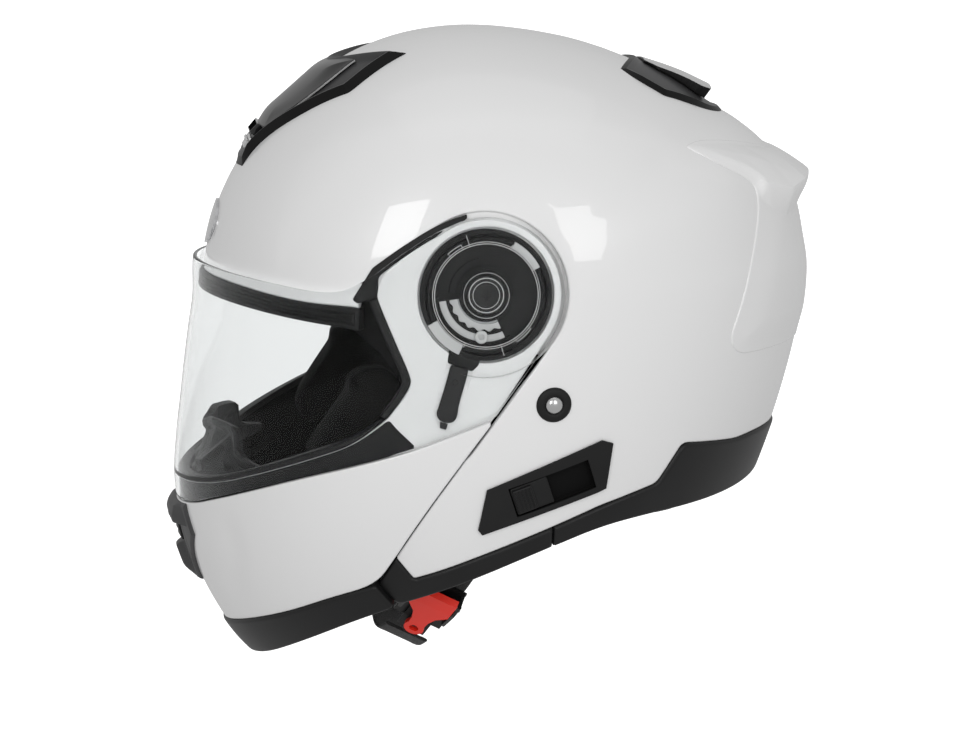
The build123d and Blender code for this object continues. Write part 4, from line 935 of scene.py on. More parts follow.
for sign, tag in ((1, "left"), (-1, "right")):
    v, f = prism(circle(ARM_R - 0.2), [circle(5.2)], 115.2, 117.4, 0.2)
    b = Build().add(to_side(v, sign), f, flip=sign < 0)
    v, f = prism(inset(LEVER_ROOM if area_of(LEVER_ROOM) > 0 else LEVER_ROOM[::-1], -0.8), [],
                 115.3, 119.6, 0.2)
    b.add(to_side(v, sign), f, flip=sign < 0)
    finish_piece(f"arm_plate_{tag}", b.mesh("arm_plate"), "chin_bar", M_ARM,
                 "chin_bar_shell")

# -------------------------------------------------------------------- visor
visor_pts = ([(-2.0, 35.2), (-13.0, 32.9)] + VISOR_TOP + [(-152.0, -116.5)]
             + moved(VISOR_LOW[1:-1][::-1], 0.0, 0.5)
             + [(4.3, -55.6), (29.0, -20.3), (10.0, 0.0)])
i0 = 2 + len(VISOR_TOP)
VISOR_OUT = outline(visor_pts, {i0 - 1: 0, i0: 0, i0 + len(VISOR_LOW) - 1: 1.5,
                                i0 + len(VISOR_LOW): 2.0})
visor_field = either(side(VISOR_OUT), side(circle(LOBE_R)))
s = Sheet(front_point, 0, 360, 420, 0, 180, 260)
s.field("edge", visor_field).trim("edge", 0.8)
rise = rounding(s.vals["edge"], 0.8)
# The visor's cut edge is painted opaque dark grey: painted shade along its rim.
solid_sheet("visor_sheet", s, -rise, -1.8 + 0.25 * (rise > 0.4), "visor",
            [M_CLEAR, M_VISOR_EDGE_SHADE], "visor", rim_mat=1)
for sign, tag in ((1, "left"), (-1, "right")):
    b = Build()
    for r0, r1, x0, x1 in ((10.05, 13.0, 119.6, 122.2), (23.6, 24.4, 121.3, 122.1)):
        v, f = prism(circle(r1), [circle(r0)], x0, x1, 0.12)
        b.add(to_side(v, sign), f, flip=sign < 0)
    for r0, w in ((23.2, 0.28), (24.1, 0.22), (10.2, 0.22)):
        v, f = prism(circle(r0 + w), [circle(r0)], 121.6, 122.15, 0.05)
        b.add(to_side(v, sign), f, 1, flip=sign < 0)
    finish_piece(f"visor_boss_{tag}", b.mesh("visor_boss"), "visor", [M_CLEAR, M_RING],
                 "visor")

# ------------------------------------------------------------------- trims
def trim(name, pts, sharp_pts, window, body, node, top=1.2, low=-9.0, edge=1.6, point=shell_point,
         mat=M_SATIN):
    s = Sheet(point, *window)
    s.field("edge", side(outline(pts, sharp_pts))).trim("edge", edge)
    return solid_sheet(name, s, top - rounding(s.vals["edge"], edge), low, body, mat, node)


front_pts = TRIM_TOP_FRONT + TRIM_LOW_FRONT[::-1]
fs = {0: 1.2, 1: 2.0, 5: 0.6, 6: 0.6, 10: 3.5, 11: 1.2}
trim("front_trim_left", front_pts, fs, (230, 300, 150, 12, 75, 90), "shell", "base_trim_front_left")
trim("front_trim_right", front_pts, fs, (230, 300, 150, 105, 168, 90), "shell",
     "base_trim_front_right")
rear_pts = moved(TRIM_TOP_REAR[:1], 0.35, 0) + TRIM_TOP_REAR[1:] + TRIM_LOW_REAR[::-1][:-1] \
    + moved(TRIM_LOW_REAR[:1], 0.35, 0)
rs = {0: 0.6, 2: 3.0, 3: 4.0, 4: 6.0, 6: 0, 7: 0, len(rear_pts) - 1: 0.6}
trim("rear_trim", rear_pts, rs, (280, 350, 170, 8, 172, 300), "shell", "base_trim_rear")
chin_trim_pts = ([(-49.0, -137.2)] + CHIN_TRIM_TOP[1:] + CHIN_TRIM_LOW[::-1][:-1]
                 + [(-40.0, -148.4)])
trim("chin_rim", chin_trim_pts, {0: 1.5, 6: 0, 7: 0, 12: 1.5}, (225, 262, 130, 8, 172, 260),
     "chin_bar", "chin_trim", low=-8.0, point=front_point)

# ------------------------------------------------------------------ gaskets
brow_pts = BROW_EDGE + BROW_LOW[::-1]
s = Sheet(shell_point, 178, 206, 110, 20, 160, 320)
s.field("edge", side(outline(brow_pts, {0: 0, 7: 1.0, 8: 1.5, 15: 0}))).trim("edge", 1.2)
for lev in (1.8, 2.3):
    s.cut("edge", lev, keep=False)
ribs = 0.35 * np.cos(s.vals["edge"] * 2 * np.pi / 1.7) * smooth((s.vals["edge"] - 1.0) / 0.6)
solid_sheet("brow_seal", s, 1.5 - rounding(s.vals["edge"], 1.2) + ribs, -5.5, "shell", M_RUBBER,
            "brow_gasket")
# A thin black strip on the shell that runs up along the arm's top edge.
STRIP = outline([(-8.0, 34.4), (-8.2, 35.9), (-14.6, 33.9), (-23.3, 30.2), (-33.4, 24.0),
                 (-41.9, 18.2), (-50.4, 11.8), (-59.2, -2.6), (-57.0, -4.4), (-48.0, -1.4),
                 (-47.8, 8.0), (-39.2, 15.0), (-31.0, 20.6), (-20.7, 26.6), (-12.0, 30.8)],
                {0: 0.3, 1: 0.3, 6: 1.5, 7: 1.0, 8: 1.0, 9: 0.8, 10: 2.0})
for sign, tag in ((1, "left"), (-1, "right")):
    u = (12, 45) if sign > 0 else (135, 168)
    s = Sheet(shell_point, 88, 202, 260, *u, 90)
    s.field("edge", side(STRIP)).trim("edge", 0.4)
    solid_sheet(f"arm_edge_strip_{tag}", s, 0.75 - rounding(s.vals["edge"], 0.4), -1.0, "shell", M_RUBBER)
SILL_LOW = moved(SILL_TOP, 0.6, 3.6)
sill_pts = [(-48.4, -57.9)] + SILL_LOW + SILL_TOP[::-1] + [(-46.0, -57.3)]
s = Sheet(front_point, 205, 240, 120, 14, 166, 320)
s.field("edge", side(outline(sill_pts, {0: 1.0, 5: 0, 6: 0, 11: 1.0}))).trim("edge", 1.2)
solid_sheet("sill_seal", s, -1.7 - rounding(s.vals["edge"], 1.2), -7.6, "chin_bar", M_RUBBER,
            "chin_sill_gasket")
# The dark band between the eye port and the chin skin, under the visor.
BAND = outline([(-44.1, -56.7), (-60.3, -69.4), (-78.5, -76.4), (-103.5, -86.4),
                (-126.0, -96.7), (-152.0, -104.2), (-152.0, -119.0), (-132.2, -110.5),
                (-123.9, -105.1), (-105.8, -96.1), (-83.4, -87.3), (-59.0, -80.2),
                (-31.5, -69.8), (-40.5, -61.0)], {0: 2.0, 5: 0, 6: 0, 12: 1.0, 13: 3.0})
s = Sheet(front_point, 205, 245, 140, 12, 168, 320)
s.field("edge", side(BAND)).trim("edge", 0.8)
solid_sheet("sill_band", s, -2.5 - rounding(s.vals["edge"], 0.8), -3.6, "chin_bar", M_GREY)
SIDE_SEAL = outline(EYE_SIDE + [(-48.3, -55.2), (-42.0, -47.0), (-38.0, -40.4),
                                (-38.2, -37.0), (-45.2, -22.4), (-51.0, -9.0), (-53.8, -2.6)],
                    {0: 1.0, 6: 1.0, 7: 1.0, 13: 1.0})
for sign, tag in ((1, "left"), (-1, "right")):
    u = (15, 45) if sign > 0 else (135, 165)
    s = Sheet(front_point, 178, 235, 160, *u, 70)
    s.field("edge", side(SIDE_SEAL)).trim("edge", 1.1)
    solid_sheet(f"side_seal_{tag}", s, -2.0 - rounding(s.vals["edge"], 1.1), -6.4, "chin_bar",
                M_RUBBER, f"side_gasket_{tag}")

# The well of the sun shield's slider, and the slider with its ridged knob.
s = Sheet(shell_point, 270, 335, 200, 12, 60, 160)
grown = inset(ccw(TRACK_HOLE), -1.4)
s.field("edge", side(grown)).field("hole", side(TRACK_HOLE)).trim("edge", 0.3, (1.0,))
s.cut("hole", 0.0, keep=False).cut("hole", 0.4, keep=False)
inwards = s.vals["hole"]
solid_sheet("track_well", s, np.where(inwards > 0.2, -2.6, -1.2), -4.6, "shell", M_INSIDE_AND_GAP_SHADE,
            "outer_shell")
at_ = lambda y, z: shell_point(direction([y], [z], shell_radius))[0]
mid_t = at_(31.0, -90.0)
run_t = unit((at_(31.0 + 12 * TILT_Y, -90.0 + 12 * TILT_Z)
              - at_(31.0 - 12 * TILT_Y, -90.0 - 12 * TILT_Z))[None])[0]
rise_t = unit((at_(31.0 - 6 * TILT_Z, -90.0 + 6 * TILT_Y)
               - at_(31.0 + 6 * TILT_Z, -90.0 - 6 * TILT_Y))[None])[0]
out_t = unit(np.cross(run_t, rise_t)[None])[0]
out_t *= np.sign(out_t[0])


def on_track(v):
    v = np.asarray(v, float)
    return mid_t + v[:, :1] * run_t + v[:, 1:2] * rise_t + v[:, 2:3] * out_t


b = Build()
box_ = lambda u0, u1, w0, w1: outline([(u0, w0), (u1, w0), (u1, w1), (u0, w1)],
                                      {k: 0.8 for k in range(4)}, 4)
v, f = prism(box_(-18.8, -1.0, -6.8, 6.8), [], -1.6, 0.4, 0.3)
b.add(on_track(v), f)
v, f = prism(box_(-18.3, -9.0, -6.0, 6.0), [], 0.2, 2.0, 0.5)
b.add(on_track(v), f)
for k in range(5):
    u = -17.2 + 1.75 * k
    v, f = prism(box_(u - 0.35, u + 0.35, -5.2, 5.2), [], 1.8, 2.6, 0.25)
    b.add(on_track(v), f)
finish_piece("sun_slider", b.mesh("sun_slider"), "sun_visor_slider", M_SATIN,
             "sun_visor_slider")

# Breath deflector: a soft mask with a raised rim, a recess and a folded nose part.
MASK = np.array([(0.0, -135.0), (19.0, -131.8), (38.0, -122.5), (54.0, -111.5), (62.0, -103.5)])
MASK_TOP = np.array([(0.0, -75.6), (6.0, -73.8), (12.0, -72.0), (18.0, -71.4), (30.0, -72.0),
                     (37.0, -72.8), (40.5, -74.8), (43.0, -79.0), (45.0, -83.0), (50.0, -85.6),
                     (56.0, -87.3), (62.0, -88.5)])
NOSE = np.array([(8.0, -93.5), (20.0, -91.8), (35.0, -79.6), (38.5, -89.0)])
CREASE = np.array([(20.5, -94.0), (33.0, -84.0)])
nx, nw = 221, 44
xs = np.linspace(-62.0, 62.0, nx)
rows_o, rows_i = [], []
for k in range(nw):
    w = k / (nw - 1)
    row_o, row_i = [], []
    for x in xs:
        ax = abs(x)
        y0 = np.interp(ax, MASK[:, 0], MASK[:, 1]) if ax > 8 else -135.0 + 0.02 * ax * ax
        ztop = np.interp(ax, MASK_TOP[:, 0], MASK_TOP[:, 1])
        zlow = np.interp(ax, [0, 30, 45, 62], [-102.0, -100.0, -96.5, -91.5])
        z = zlow + w * (ztop - zlow)
        at_ = np.array([[ax, z]])
        rim_d = abs(float(line_gap(at_, MASK_TOP)[0]))
        nose_d = abs(float(line_gap(at_, NOSE)[0]))
        crease_d = abs(float(line_gap(at_, CREASE)[0]))
        low_ = smooth((z + 101.0) / 5.0)
        roll = 1.5 * (1 - smooth((rim_d - 2.6) / 2.2)) + 0.5 * math.exp(-((rim_d - 0.9) / 0.9) ** 2)
        fold = 2.7 * max(0.0, 1 - nose_d / 4.2) * low_
        dip = -1.2 * (1 - roll / 2.0) * low_ - 1.3 * max(0.0, 1 - crease_d / 1.8) * low_
        band = 1.0 * math.exp(-((z + 97.5) / 1.3) ** 2)
        out_n = np.array([x / 95.0, -1.0, 0.33])
        out_n /= np.linalg.norm(out_n)
        base_ = np.array([x, y0 + 0.33 * (z + 104.5) + 1.4, z])
        row_o.append(base_ + out_n * float(roll + fold + dip + band))
        row_i.append(base_ - out_n * 1.7 + out_n * float(fold + dip) * 0.7)
    rows_o.append(row_o)
    rows_i.append(row_i)
verts = np.array(rows_o + rows_i).reshape(-1, 3)
faces = []
m = nx * nw
for k in range(nw - 1):
    for i in range(nx - 1):
        a, b_, c, e = k * nx + i, k * nx + i + 1, (k + 1) * nx + i + 1, (k + 1) * nx + i
        faces += [[a, b_, c, e], [m + e, m + c, m + b_, m + a]]
for i in range(nx - 1):
    faces += [[m + i, m + i + 1, i + 1, i]]
    t_ = (nw - 1) * nx + i
    faces += [[t_, t_ + 1, m + t_ + 1, m + t_]]
for k in range(nw - 1):
    a, e = k * nx, (k + 1) * nx
    faces += [[a, e, m + e, m + a]]
    a, e = a + nx - 1, e + nx - 1
    faces += [[e, a, m + a, m + e]]
finish_piece("face_mask", new_mesh("face_mask", verts, faces), "chin_bar", M_MASK,
             "breath_deflector", sharp=50.0)

# Webbing in its slanted plane: flat bands with rounded, thicker edges.
def in_strap(x, s_, w):
    return np.array([x, 30.8 - 0.447 * s_ + 0.8945 * w, -50.5 - 0.8945 * s_ - 0.447 * w])


def through(path, n):
    path = np.array(path, float)
    t = np.concatenate([[0], np.cumsum(np.linalg.norm(np.diff(path, axis=0), axis=1))])
    tt = np.linspace(0, t[-1], n)
    m_ = np.gradient(path, t, axis=0)
    i = np.clip(np.searchsorted(t, tt) - 1, 0, len(t) - 2)
    h = (t[i + 1] - t[i])[:, None]
    u = (tt - t[i])[:, None] / h
    return ((2 * u**3 - 3 * u**2 + 1) * path[i] + (u**3 - 2 * u**2 + u) * h * m_[i]
            + (-2 * u**3 + 3 * u**2) * path[i + 1] + (u**3 - u**2) * h * m_[i + 1])


PATH_LEFT = [(109.0, -9.0), (108.4, 8.0), (106.0, 28.0), (102.5, 46.0), (97.5, 65.0),
             (91.0, 82.0), (83.0, 97.0), (74.2, 109.4), (67.0, 116.8)]
PATH_RIGHT = [(44.0, 145.4), (34.0, 150.0), (21.0, 153.0), (5.0, 153.8), (-12.0, 152.4),
              (-28.0, 148.0), (-44.0, 140.0), (-58.0, 129.0), (-70.0, 115.5), (-80.0, 101.0),
              (-89.0, 85.0), (-96.5, 68.0), (-102.0, 48.0), (-106.0, 28.0), (-108.4, 8.0),
              (-109.0, -9.0)]
for tag, path in (("left", PATH_LEFT), ("right", PATH_RIGHT)):
    path = [(x, s_ - 8.5 * float(smooth((s_ - 30.0) / 70.0))) for x, s_ in path]
    line = through(path, 90 if tag == "left" else 150)
    tang = unit(np.gradient(line, axis=0))
    nor = np.stack([-tang[:, 1], tang[:, 0]], 1)
    section = []
    for k in range(13):
        section.append((-10.2 + 20.4 * k / 12, 0.78 + 0.12 * (k in (1, 11))))
    section += [(10.8, 0.55), (11.0, 0.0), (10.8, -0.55)]
    section += [(w, -h) for w, h in section[:13][::-1]]
    section += [(-10.8, -0.55), (-11.0, 0.0), (-10.8, 0.55)]
    verts, faces = [], []
    for p_, n_ in zip(line, nor):
        for w, h in section:
            verts.append(in_strap(p_[0] + n_[0] * h, p_[1] + n_[1] * h, w))
    m = len(section)
    for k in range(len(line) - 1):
        for i in range(m):
            j_ = (i + 1) % m
            faces.append([k * m + i, (k + 1) * m + i, (k + 1) * m + j_, k * m + j_])
    faces.append(list(range(m)))
    faces.append([(len(line) - 1) * m + i for i in range(m)][::-1])
    mesh_ = new_mesh("webbing", verts, faces)
    bm = bmesh.new()
    bm.from_mesh(mesh_)
    bmesh.ops.recalc_face_normals(bm, faces=bm.faces)
    bm.to_mesh(mesh_)
    bm.free()
    finish_piece(f"webbing_{tag}", mesh_, "shell", M_WEB, f"strap_{tag}", sharp=50.0)

# ------------------------------------------------------------------- vents
def facing(p, angle):
    """(X, distance to the rear) as seen along this side-view angle."""
    a = math.radians(angle)
    rear = np.array([math.sin(a), -math.cos(a)])
    return np.stack([p[:, 0], p[:, 1] * rear[0] + p[:, 2] * rear[1]], 1)


def plan(points, angle, sharp_pts=None, mirror_=True):
    pts = list(points)
    n = len(points)
    pts += [(-x, v) for x, v in reversed(points) if x]
    sh = dict(sharp_pts or {})
    for k, c in list(sh.items()):
        if points[k][0]:
            sh[2 * n - 1 - k - (1 if points[0][0] == 0 else 0) - (0 if points[-1][0] else 1) + (1 if points[-1][0] == 0 else 0)] = c
    poly = outline(pts, sh)
    return lambda p: np.where(np.sum(p[:, 1:3] * [math.cos(math.radians(angle)),
                                                  math.sin(math.radians(angle))], 1) > 0,
                              inside_of(facing(p, angle), poly), -50.0)


VENT_PLAN = [(0, -42.0), (20.8, -39.7), (22.1, -29.9), (30.8, -17.3), (40.9, -3.8),
             (48.1, 8.8), (54.5, 20.7), (53.3, 26.2), (48.5, 38.0), (42.0, 52.5),
             (20.0, 33.0), (0, 27.0)]


def tri_mean(sheet, values):
    return values[sheet.tri].mean(1)


# Base: a dark side facet up to a crease, then a facet that falls inwards, painted lighter grey: a painted
# reflection on the same black plastic.
s = Sheet(shell_point, 95, 182, 330, 55, 125, 270)
s.field("edge", plan(VENT_PLAN, 135.0, {1: 1.0, 6: 1.5, 9: 0.4}))
s.trim("edge", 0.3, (1.0, 0.4))
for lev in (3.6, 8.6, 13.0):
    s.cut("edge", lev, keep=False)
d = s.vals["edge"]
v1 = facing(s.pos, 135.0)[:, 1]
nose = np.clip((v1 + 43.0) / 13.0, 0.0, 1.0)
top = np.where(d < 3.6, 0.4 + 3.0 * d / 3.6, 3.4 - 2.5 * smooth((d - 3.6) / 5.0)) * nose + 0.15
painted_lit_facet = (tri_mean(s, d) > 3.6).astype(int)
solid_sheet("forehead_vent", s, top, -1.2, "shell", [M_VENT, M_VENT_PAINTED_REFLECTION],
            "forehead_vent_base", faces_mat=painted_lit_facet, sharp=24.0)
# Slider: a thin plate that stands straight across the crown, with a finger
# tab and a small latch at its front.
VENT_SLIDE = [(0, -21.0), (10.0, -20.5), (23.0, -19.0), (31.0, -9.0), (36.5, 1.0),
              (37.5, 17.0), (31.0, 33.0), (14.0, 28.0), (0, 25.0)]
s = Sheet(shell_point, 100, 165, 300, 66, 114, 230)
s.field("edge", plan(VENT_SLIDE, 135.0, {2: 2.0, 6: 0.3})).trim("edge", 0.3, (1.0, 0.4))
v2 = facing(s.pos, 135.0)[:, 1]
d = s.vals["edge"]
rise = 3.0 + (0.2 + 2.0 * ((v2 - 3.0) / 22.0) ** 2) * smooth(d / 12.0)
# The slider's rim is painted pale grey: a painted highlight along its edge.
solid_sheet("forehead_slider", s, rise - rounding(d, 0.3), rise - 1.1,
            "forehead_vent", [M_SLIDER, M_GLOSS, M_PAINTED_EDGE_HIGHLIGHT],
            "forehead_vent_slider", rim_mat=2)


def on_crown(verts, angle):
    """(X, distance to the rear, height over the shell) seen along an angle."""
    verts = np.asarray(verts, float)
    a = math.radians(angle)
    rear = np.array([math.sin(a), -math.cos(a)])
    out_ = np.array([math.cos(a), math.sin(a)])
    lo, hi = np.full(len(verts), 40.0), np.full(len(verts), 200.0)
    flat = verts[:, 1:2] * rear
    for _ in range(26):
        mid_ = (lo + hi) / 2
        yz = flat + mid_[:, None] * out_
        r = np.hypot(yz[:, 0], yz[:, 1])
        angle_ = np.degrees(np.arctan2(yz[:, 1], yz[:, 0])) % 360
        q = direction(yz[:, 0], yz[:, 1], shell_radius)
        over = (r >= shell_radius(angle_)) | (shell_point(q)[:, 0] < np.abs(verts[:, 0]))
        hi, lo = np.where(over, mid_, hi), np.where(over, lo, mid_)
    yz = flat + lo[:, None] * out_
    q = direction(yz[:, 0], yz[:, 1], shell_radius)
    q[:, 2] *= np.where(verts[:, 0] < 0, -1, 1)
    n = normals_at(shell_point, unit(q))
    return np.stack([verts[:, 0], yz[:, 0], yz[:, 1]], 1) + n * verts[:, 2:3]


def crown_block(points, h0, h1, angle, edge):
    v, f = prism(outline(points, {k: edge * 1.6 for k in range(len(points))}, 4), [], h0, h1, edge)
    return on_crown(v, angle), f


b = Build()
b.add(*crown_block([(-13.0, -25.5), (13.0, -25.5), (17.0, -19.5), (-17.0, -19.5)], 1.4, 4.8,
                   135.0, 0.6))
finish_piece("forehead_tab", b.mesh("tab"), "forehead_vent", M_GLOSS,
             "forehead_vent_slider")
b = Build()
b.add(*crown_block([(-11.0, -33.0), (11.0, -33.0), (13.0, -27.0), (-13.0, -27.0)], 0.3, 2.8,
                   135.0, 0.7))
b.add(*crown_block([(-12.0, -29.8), (12.0, -29.8), (12.5, -28.4), (-12.5, -28.4)], 2.2, 3.8,
                   135.0, 0.4))
finish_piece("forehead_latch", b.mesh("latch"), "shell", M_STEEL,
             "forehead_vent_base")

REAR_PLAN = [(0, 22.0), (20.0, 18.5), (39.7, 14.2), (47.1, 24.1), (50.0, 37.3), (41.5, 51.1),
             (25.9, 67.3), (14.3, 72.0), (0, 73.0)]
s = Sheet(shell_point, 22, 62, 260, 58, 122, 260)
s.field("edge", plan(REAR_PLAN, 60.0, {2: 0.8, 4: 2.0})).trim("edge", 0.3, (1.0, 0.4))
for lev in (2.6, 5.5):
    s.cut("edge", lev, keep=False)
d = s.vals["edge"]
v3 = facing(s.pos, 60.0)[:, 1]
thin = 0.35 + 0.65 * smooth((v3 - 14.0) / 12.0) * (1 - 0.75 * smooth((v3 - 50.0) / 20.0))
top = np.where(d < 2.6, 0.3 + 1.9 * d / 2.6, 2.2 - 1.0 * smooth((d - 2.6) / 2.9)) * thin
# The inner facet is painted lighter grey here too: a painted reflection.
solid_sheet("rear_vent", s, top, -1.0, "shell", [M_VENT, M_VENT_PAINTED_REFLECTION],
            "rear_vent_base", faces_mat=(tri_mean(s, d) > 2.6).astype(int), sharp=24.0)
REAR_FLAP = [(0, 27.5), (14.0, 27.0), (20.0, 33.0), (23.5, 55.0), (20.5, 60.0), (0, 61.0)]
s = Sheet(shell_point, 30, 55, 200, 70, 110, 200)
s.field("edge", plan(REAR_FLAP, 60.0, {1: 1.5, 2: 2.0, 3: 1.5, 4: 1.0})).trim("edge", 0.35, (1.0, 0.4))
v3 = facing(s.pos, 60.0)[:, 1]
solid_sheet("rear_flap", s, 2.9 + 4.9 * np.clip((v3 - 27.0) / 33.0, 0, 1) ** 1.2
            - rounding(s.vals["edge"], 0.35), 1.9, "rear_vent", [M_FLAP, M_VENT, M_VENT],
            "rear_vent_flap", rim_mat=2, inner=1)

# ------------------------------------------------------------------ spoiler
SPOILER = outline([(96.8, 62.2), (105.5, 57.6), (113.6, 53.4), (127.0, 47.0), (133.0, 41.0),
                   (132.0, 28.0), (127.0, 8.0), (121.0, -12.7), (115.3, -27.0),
                   (122.0, -34.0), (184.0, -34.0), (184.0, 30.0), (184.0, 60.0),
                   (150.0, 57.4), (139.9, 59.0), (127.4, 62.0), (116.0, 63.6),
                   (104.0, 64.4)], {0: 2.0, 9: 4.0, 10: 0, 11: 0, 12: 0})


def rear_angle(p):
    a = np.degrees(np.arctan2(p[:, 2], p[:, 1]))
    return np.where(a > 180, a - 360, a)


def ridge_angle(p):
    """Where the wing's edge runs, from its nose on the side to the lip."""
    return np.interp(np.abs(p[:, 0]), [0, 40, 51.4, 63.5, 74.2, 79.9, 82.1, 86],
                     [14.6, 14.6, 14.5, 17.2, 21.9, 26.6, 30.5, 34.0])


def seam_angle(p):
    return np.interp(np.abs(p[:, 0]), [0, 12, 38, 52, 63, 71, 86], [21.5, 21.5, 23.5, 25.7, 28.5, 31, 36])


s = Sheet(shell_point, -16, 36, 360, 12, 168, 400)
s.field("edge", side(SPOILER))
s.field("ridge", lambda p: rear_angle(p) - ridge_angle(p))
s.trim("edge", 0.7)
s.cut("ridge", 0.0, keep=False)
d, ang, ra = s.vals["edge"], rear_angle(s.pos), ridge_angle(s.pos)
high = np.interp(np.abs(s.pos[:, 0]), [0, 38, 51, 63.5, 74, 80, 86], [10.0, 10.0, 7.4, 4.4, 2.6, 1.3, 0])
above = np.clip((seam_angle(s.pos) - ang) / np.maximum(seam_angle(s.pos) - ra, 2.0), 0, 1)
below = np.clip(1 - (ra - ang) / 4.4, 0, 1)
lift = high * np.where(ang >= ra, above ** 1.2, smooth(below) * 0.5 + below * 0.5)
top = 0.6 + 1.2 * smooth(d / 16.0) + lift * smooth(d / 3.0)
solid_sheet("spoiler_panel", s, top - rounding(d, 0.7), -1.0, "shell", M_SHELL,
            "rear_spoiler", sharp=30.0)

# --------------------------------------------------- pieces round the pivot
GEAR_X = 118.0
for sign, tag in ((1, "left"), (-1, "right")):
    b = Build()

    def put(outer, holes, x0, x1, mat=0, edge=0.2):
        v, f = prism(outer, holes, x0, x1, edge)
        b.add(to_side(v, sign), f, mat, flip=sign < 0)

    put(circle(GEAR_R), [circle(5.2)], 118.0, 118.7)
    put(circle(GEAR_R), [circle(27.4)], 118.0, 120.9, edge=0.35)
    put(circle(26.6), [circle(24.9)], 118.4, 120.3, edge=0.2)
    put(circle(9.9), [circle(8.4)], 118.4, 121.2, edge=0.2)
    put(circle(8.4), [circle(5.2)], 118.4, 119.6, edge=0.2)
    # cam slot, and the pale detent window with its toothed band and pin
    put(sector(13.6, 16.9, 101.0, 176.0, 40), [], 118.5, 119.7, mat=2, edge=0.2)
    teeth = lambda t: 0.5 * np.sin(t * 2 * np.pi * 6.5)
    put(sector(12.3, 21.4, 188.0, 294.0, 60), [], 118.4, 119.0, mat=1, edge=0.1)
    put(sector(16.2, 18.1, 186.0, 297.0, 90, teeth), [], 118.9, 119.9, mat=0, edge=0.2)
    put(sector(21.3, 22.6, 184.0, 300.0, 60), [], 118.4, 120.0, mat=0, edge=0.2)
    put(circle(3.0, -2.1, -19.1, 40), [circle(1.1, -2.1, -19.1, 24)], 118.9, 120.4, mat=1, edge=0.5)
    # pale windows on the ring: upper rear and lower front
    put(sector(23.6, 27.2, 27.0, 61.0, 30), [], 118.7, 120.8, mat=1, edge=0.1)
    put(sector(24.6, 29.5, 207.0, 245.0, 30), [], 118.7, 121.1, mat=1, edge=0.1)
    put(sector(24.6, 26.4, 72.0, 107.0, 24), [], 118.7, 121.0, mat=0, edge=0.3)
    put(sector(26.6, 27.6, 296.0, 345.0, 24), [], 118.7, 121.2, mat=2, edge=0.2)
    for a in (61.5, 108.0, 116.0, 132.0, 246.0, 286.0, 303.0, 322.0):
        put(sector(23.4, 28.6 if a in (108.0, 286.0) else 25.6, a, a + 0.7, 3), [], 118.7, 121.25,
            mat=1, edge=0.03)
    for a0, a1 in ((116.0, 132.0), (303.0, 322.0)):
        put(sector(25.3, 25.6, a0, a1, 16), [], 118.7, 121.2, mat=1, edge=0.03)
    # block under the ring that the release lever hangs from
    put(outline([(-16.5, -23.0), (-17.5, -30.6), (-6.2, -34.6), (-3.4, -31.8), (-2.4, -28.0),
                 (-8.0, -26.5)], {1: 1.2, 2: 1.2, 3: 1.0, 4: 1.0}), [], 118.0, 120.7, edge=0.4)
    finish_piece(f"gear_{tag}", b.mesh("gear"), "chin_bar", [M_GEAR, M_WINDOW, M_GREY],
                 f"gear_plate_{tag}")
    # release lever, with its finger pad and tip
    b = Build()
    put(outline([(-16.0, -31.5), (-8.0, -33.0), (-8.4, -36.0), (-12.6, -50.0), (-13.0, -54.0),
                 (-14.0, -57.0), (-17.0, -58.2), (-21.5, -56.6), (-22.6, -53.6), (-21.4, -50.2),
                 (-18.2, -40.0)], {0: 0.8, 1: 0.8, 7: 1.5, 8: 1.5}), [], 119.8, 121.2, edge=0.35)
    put(outline([(-20.8, -57.4), (-17.4, -58.4), (-18.2, -61.0), (-21.0, -60.2)],
                {k: 0.4 for k in range(4)}), [], 119.8, 121.0, edge=0.2)
    put(circle(1.5, -14.2, -39.5, 32), [circle(0.9, -14.2, -39.5, 24)], 120.9, 121.5, edge=0.2)
    finish_piece(f"release_lever_{tag}", b.mesh("lever"), f"visor_release_{tag}", M_SATIN,
                 f"visor_release_{tag}")
    # strap rivet: washer and domed head
    b = Build()
    q = direction([RIVET[0]], [RIVET[1]], shell_radius, sign)
    top_at, n_at = shell_point(q)[0], normals_at(shell_point, q)[0]
    ex = np.cross(n_at, [0.0, 0.0, 1.0])
    ex /= np.linalg.norm(ex)
    ey = np.cross(n_at, ex)

    def on_shell(v):
        return top_at + v[:, :1] * ex + v[:, 1:2] * ey + v[:, 2:3] * n_at

    v, f = lathe([(4.2, 0.1), (4.2, 1.0), (4.6, 1.35), (5.4, 1.45), (6.9, 1.3), (7.8, 0.8),
                  (8.15, 0.1), (8.15, -0.4)])
    finish_piece(f"strap_washer_{tag}", Build().add(on_shell(v), f, flip=True).mesh("washer"),
                 "shell", M_RUBBER, "rivet_washers")
    v, f = lathe([(0, 3.1), (1.2, 3.05), (2.3, 2.75), (3.3, 2.15), (4.0, 1.35), (4.3, 0.5),
                  (4.3, 0.0)])
    finish_piece(f"strap_rivet_{tag}", Build().add(on_shell(v), f, flip=True).mesh("rivet"),
                 "shell", M_STEEL, "rivets")
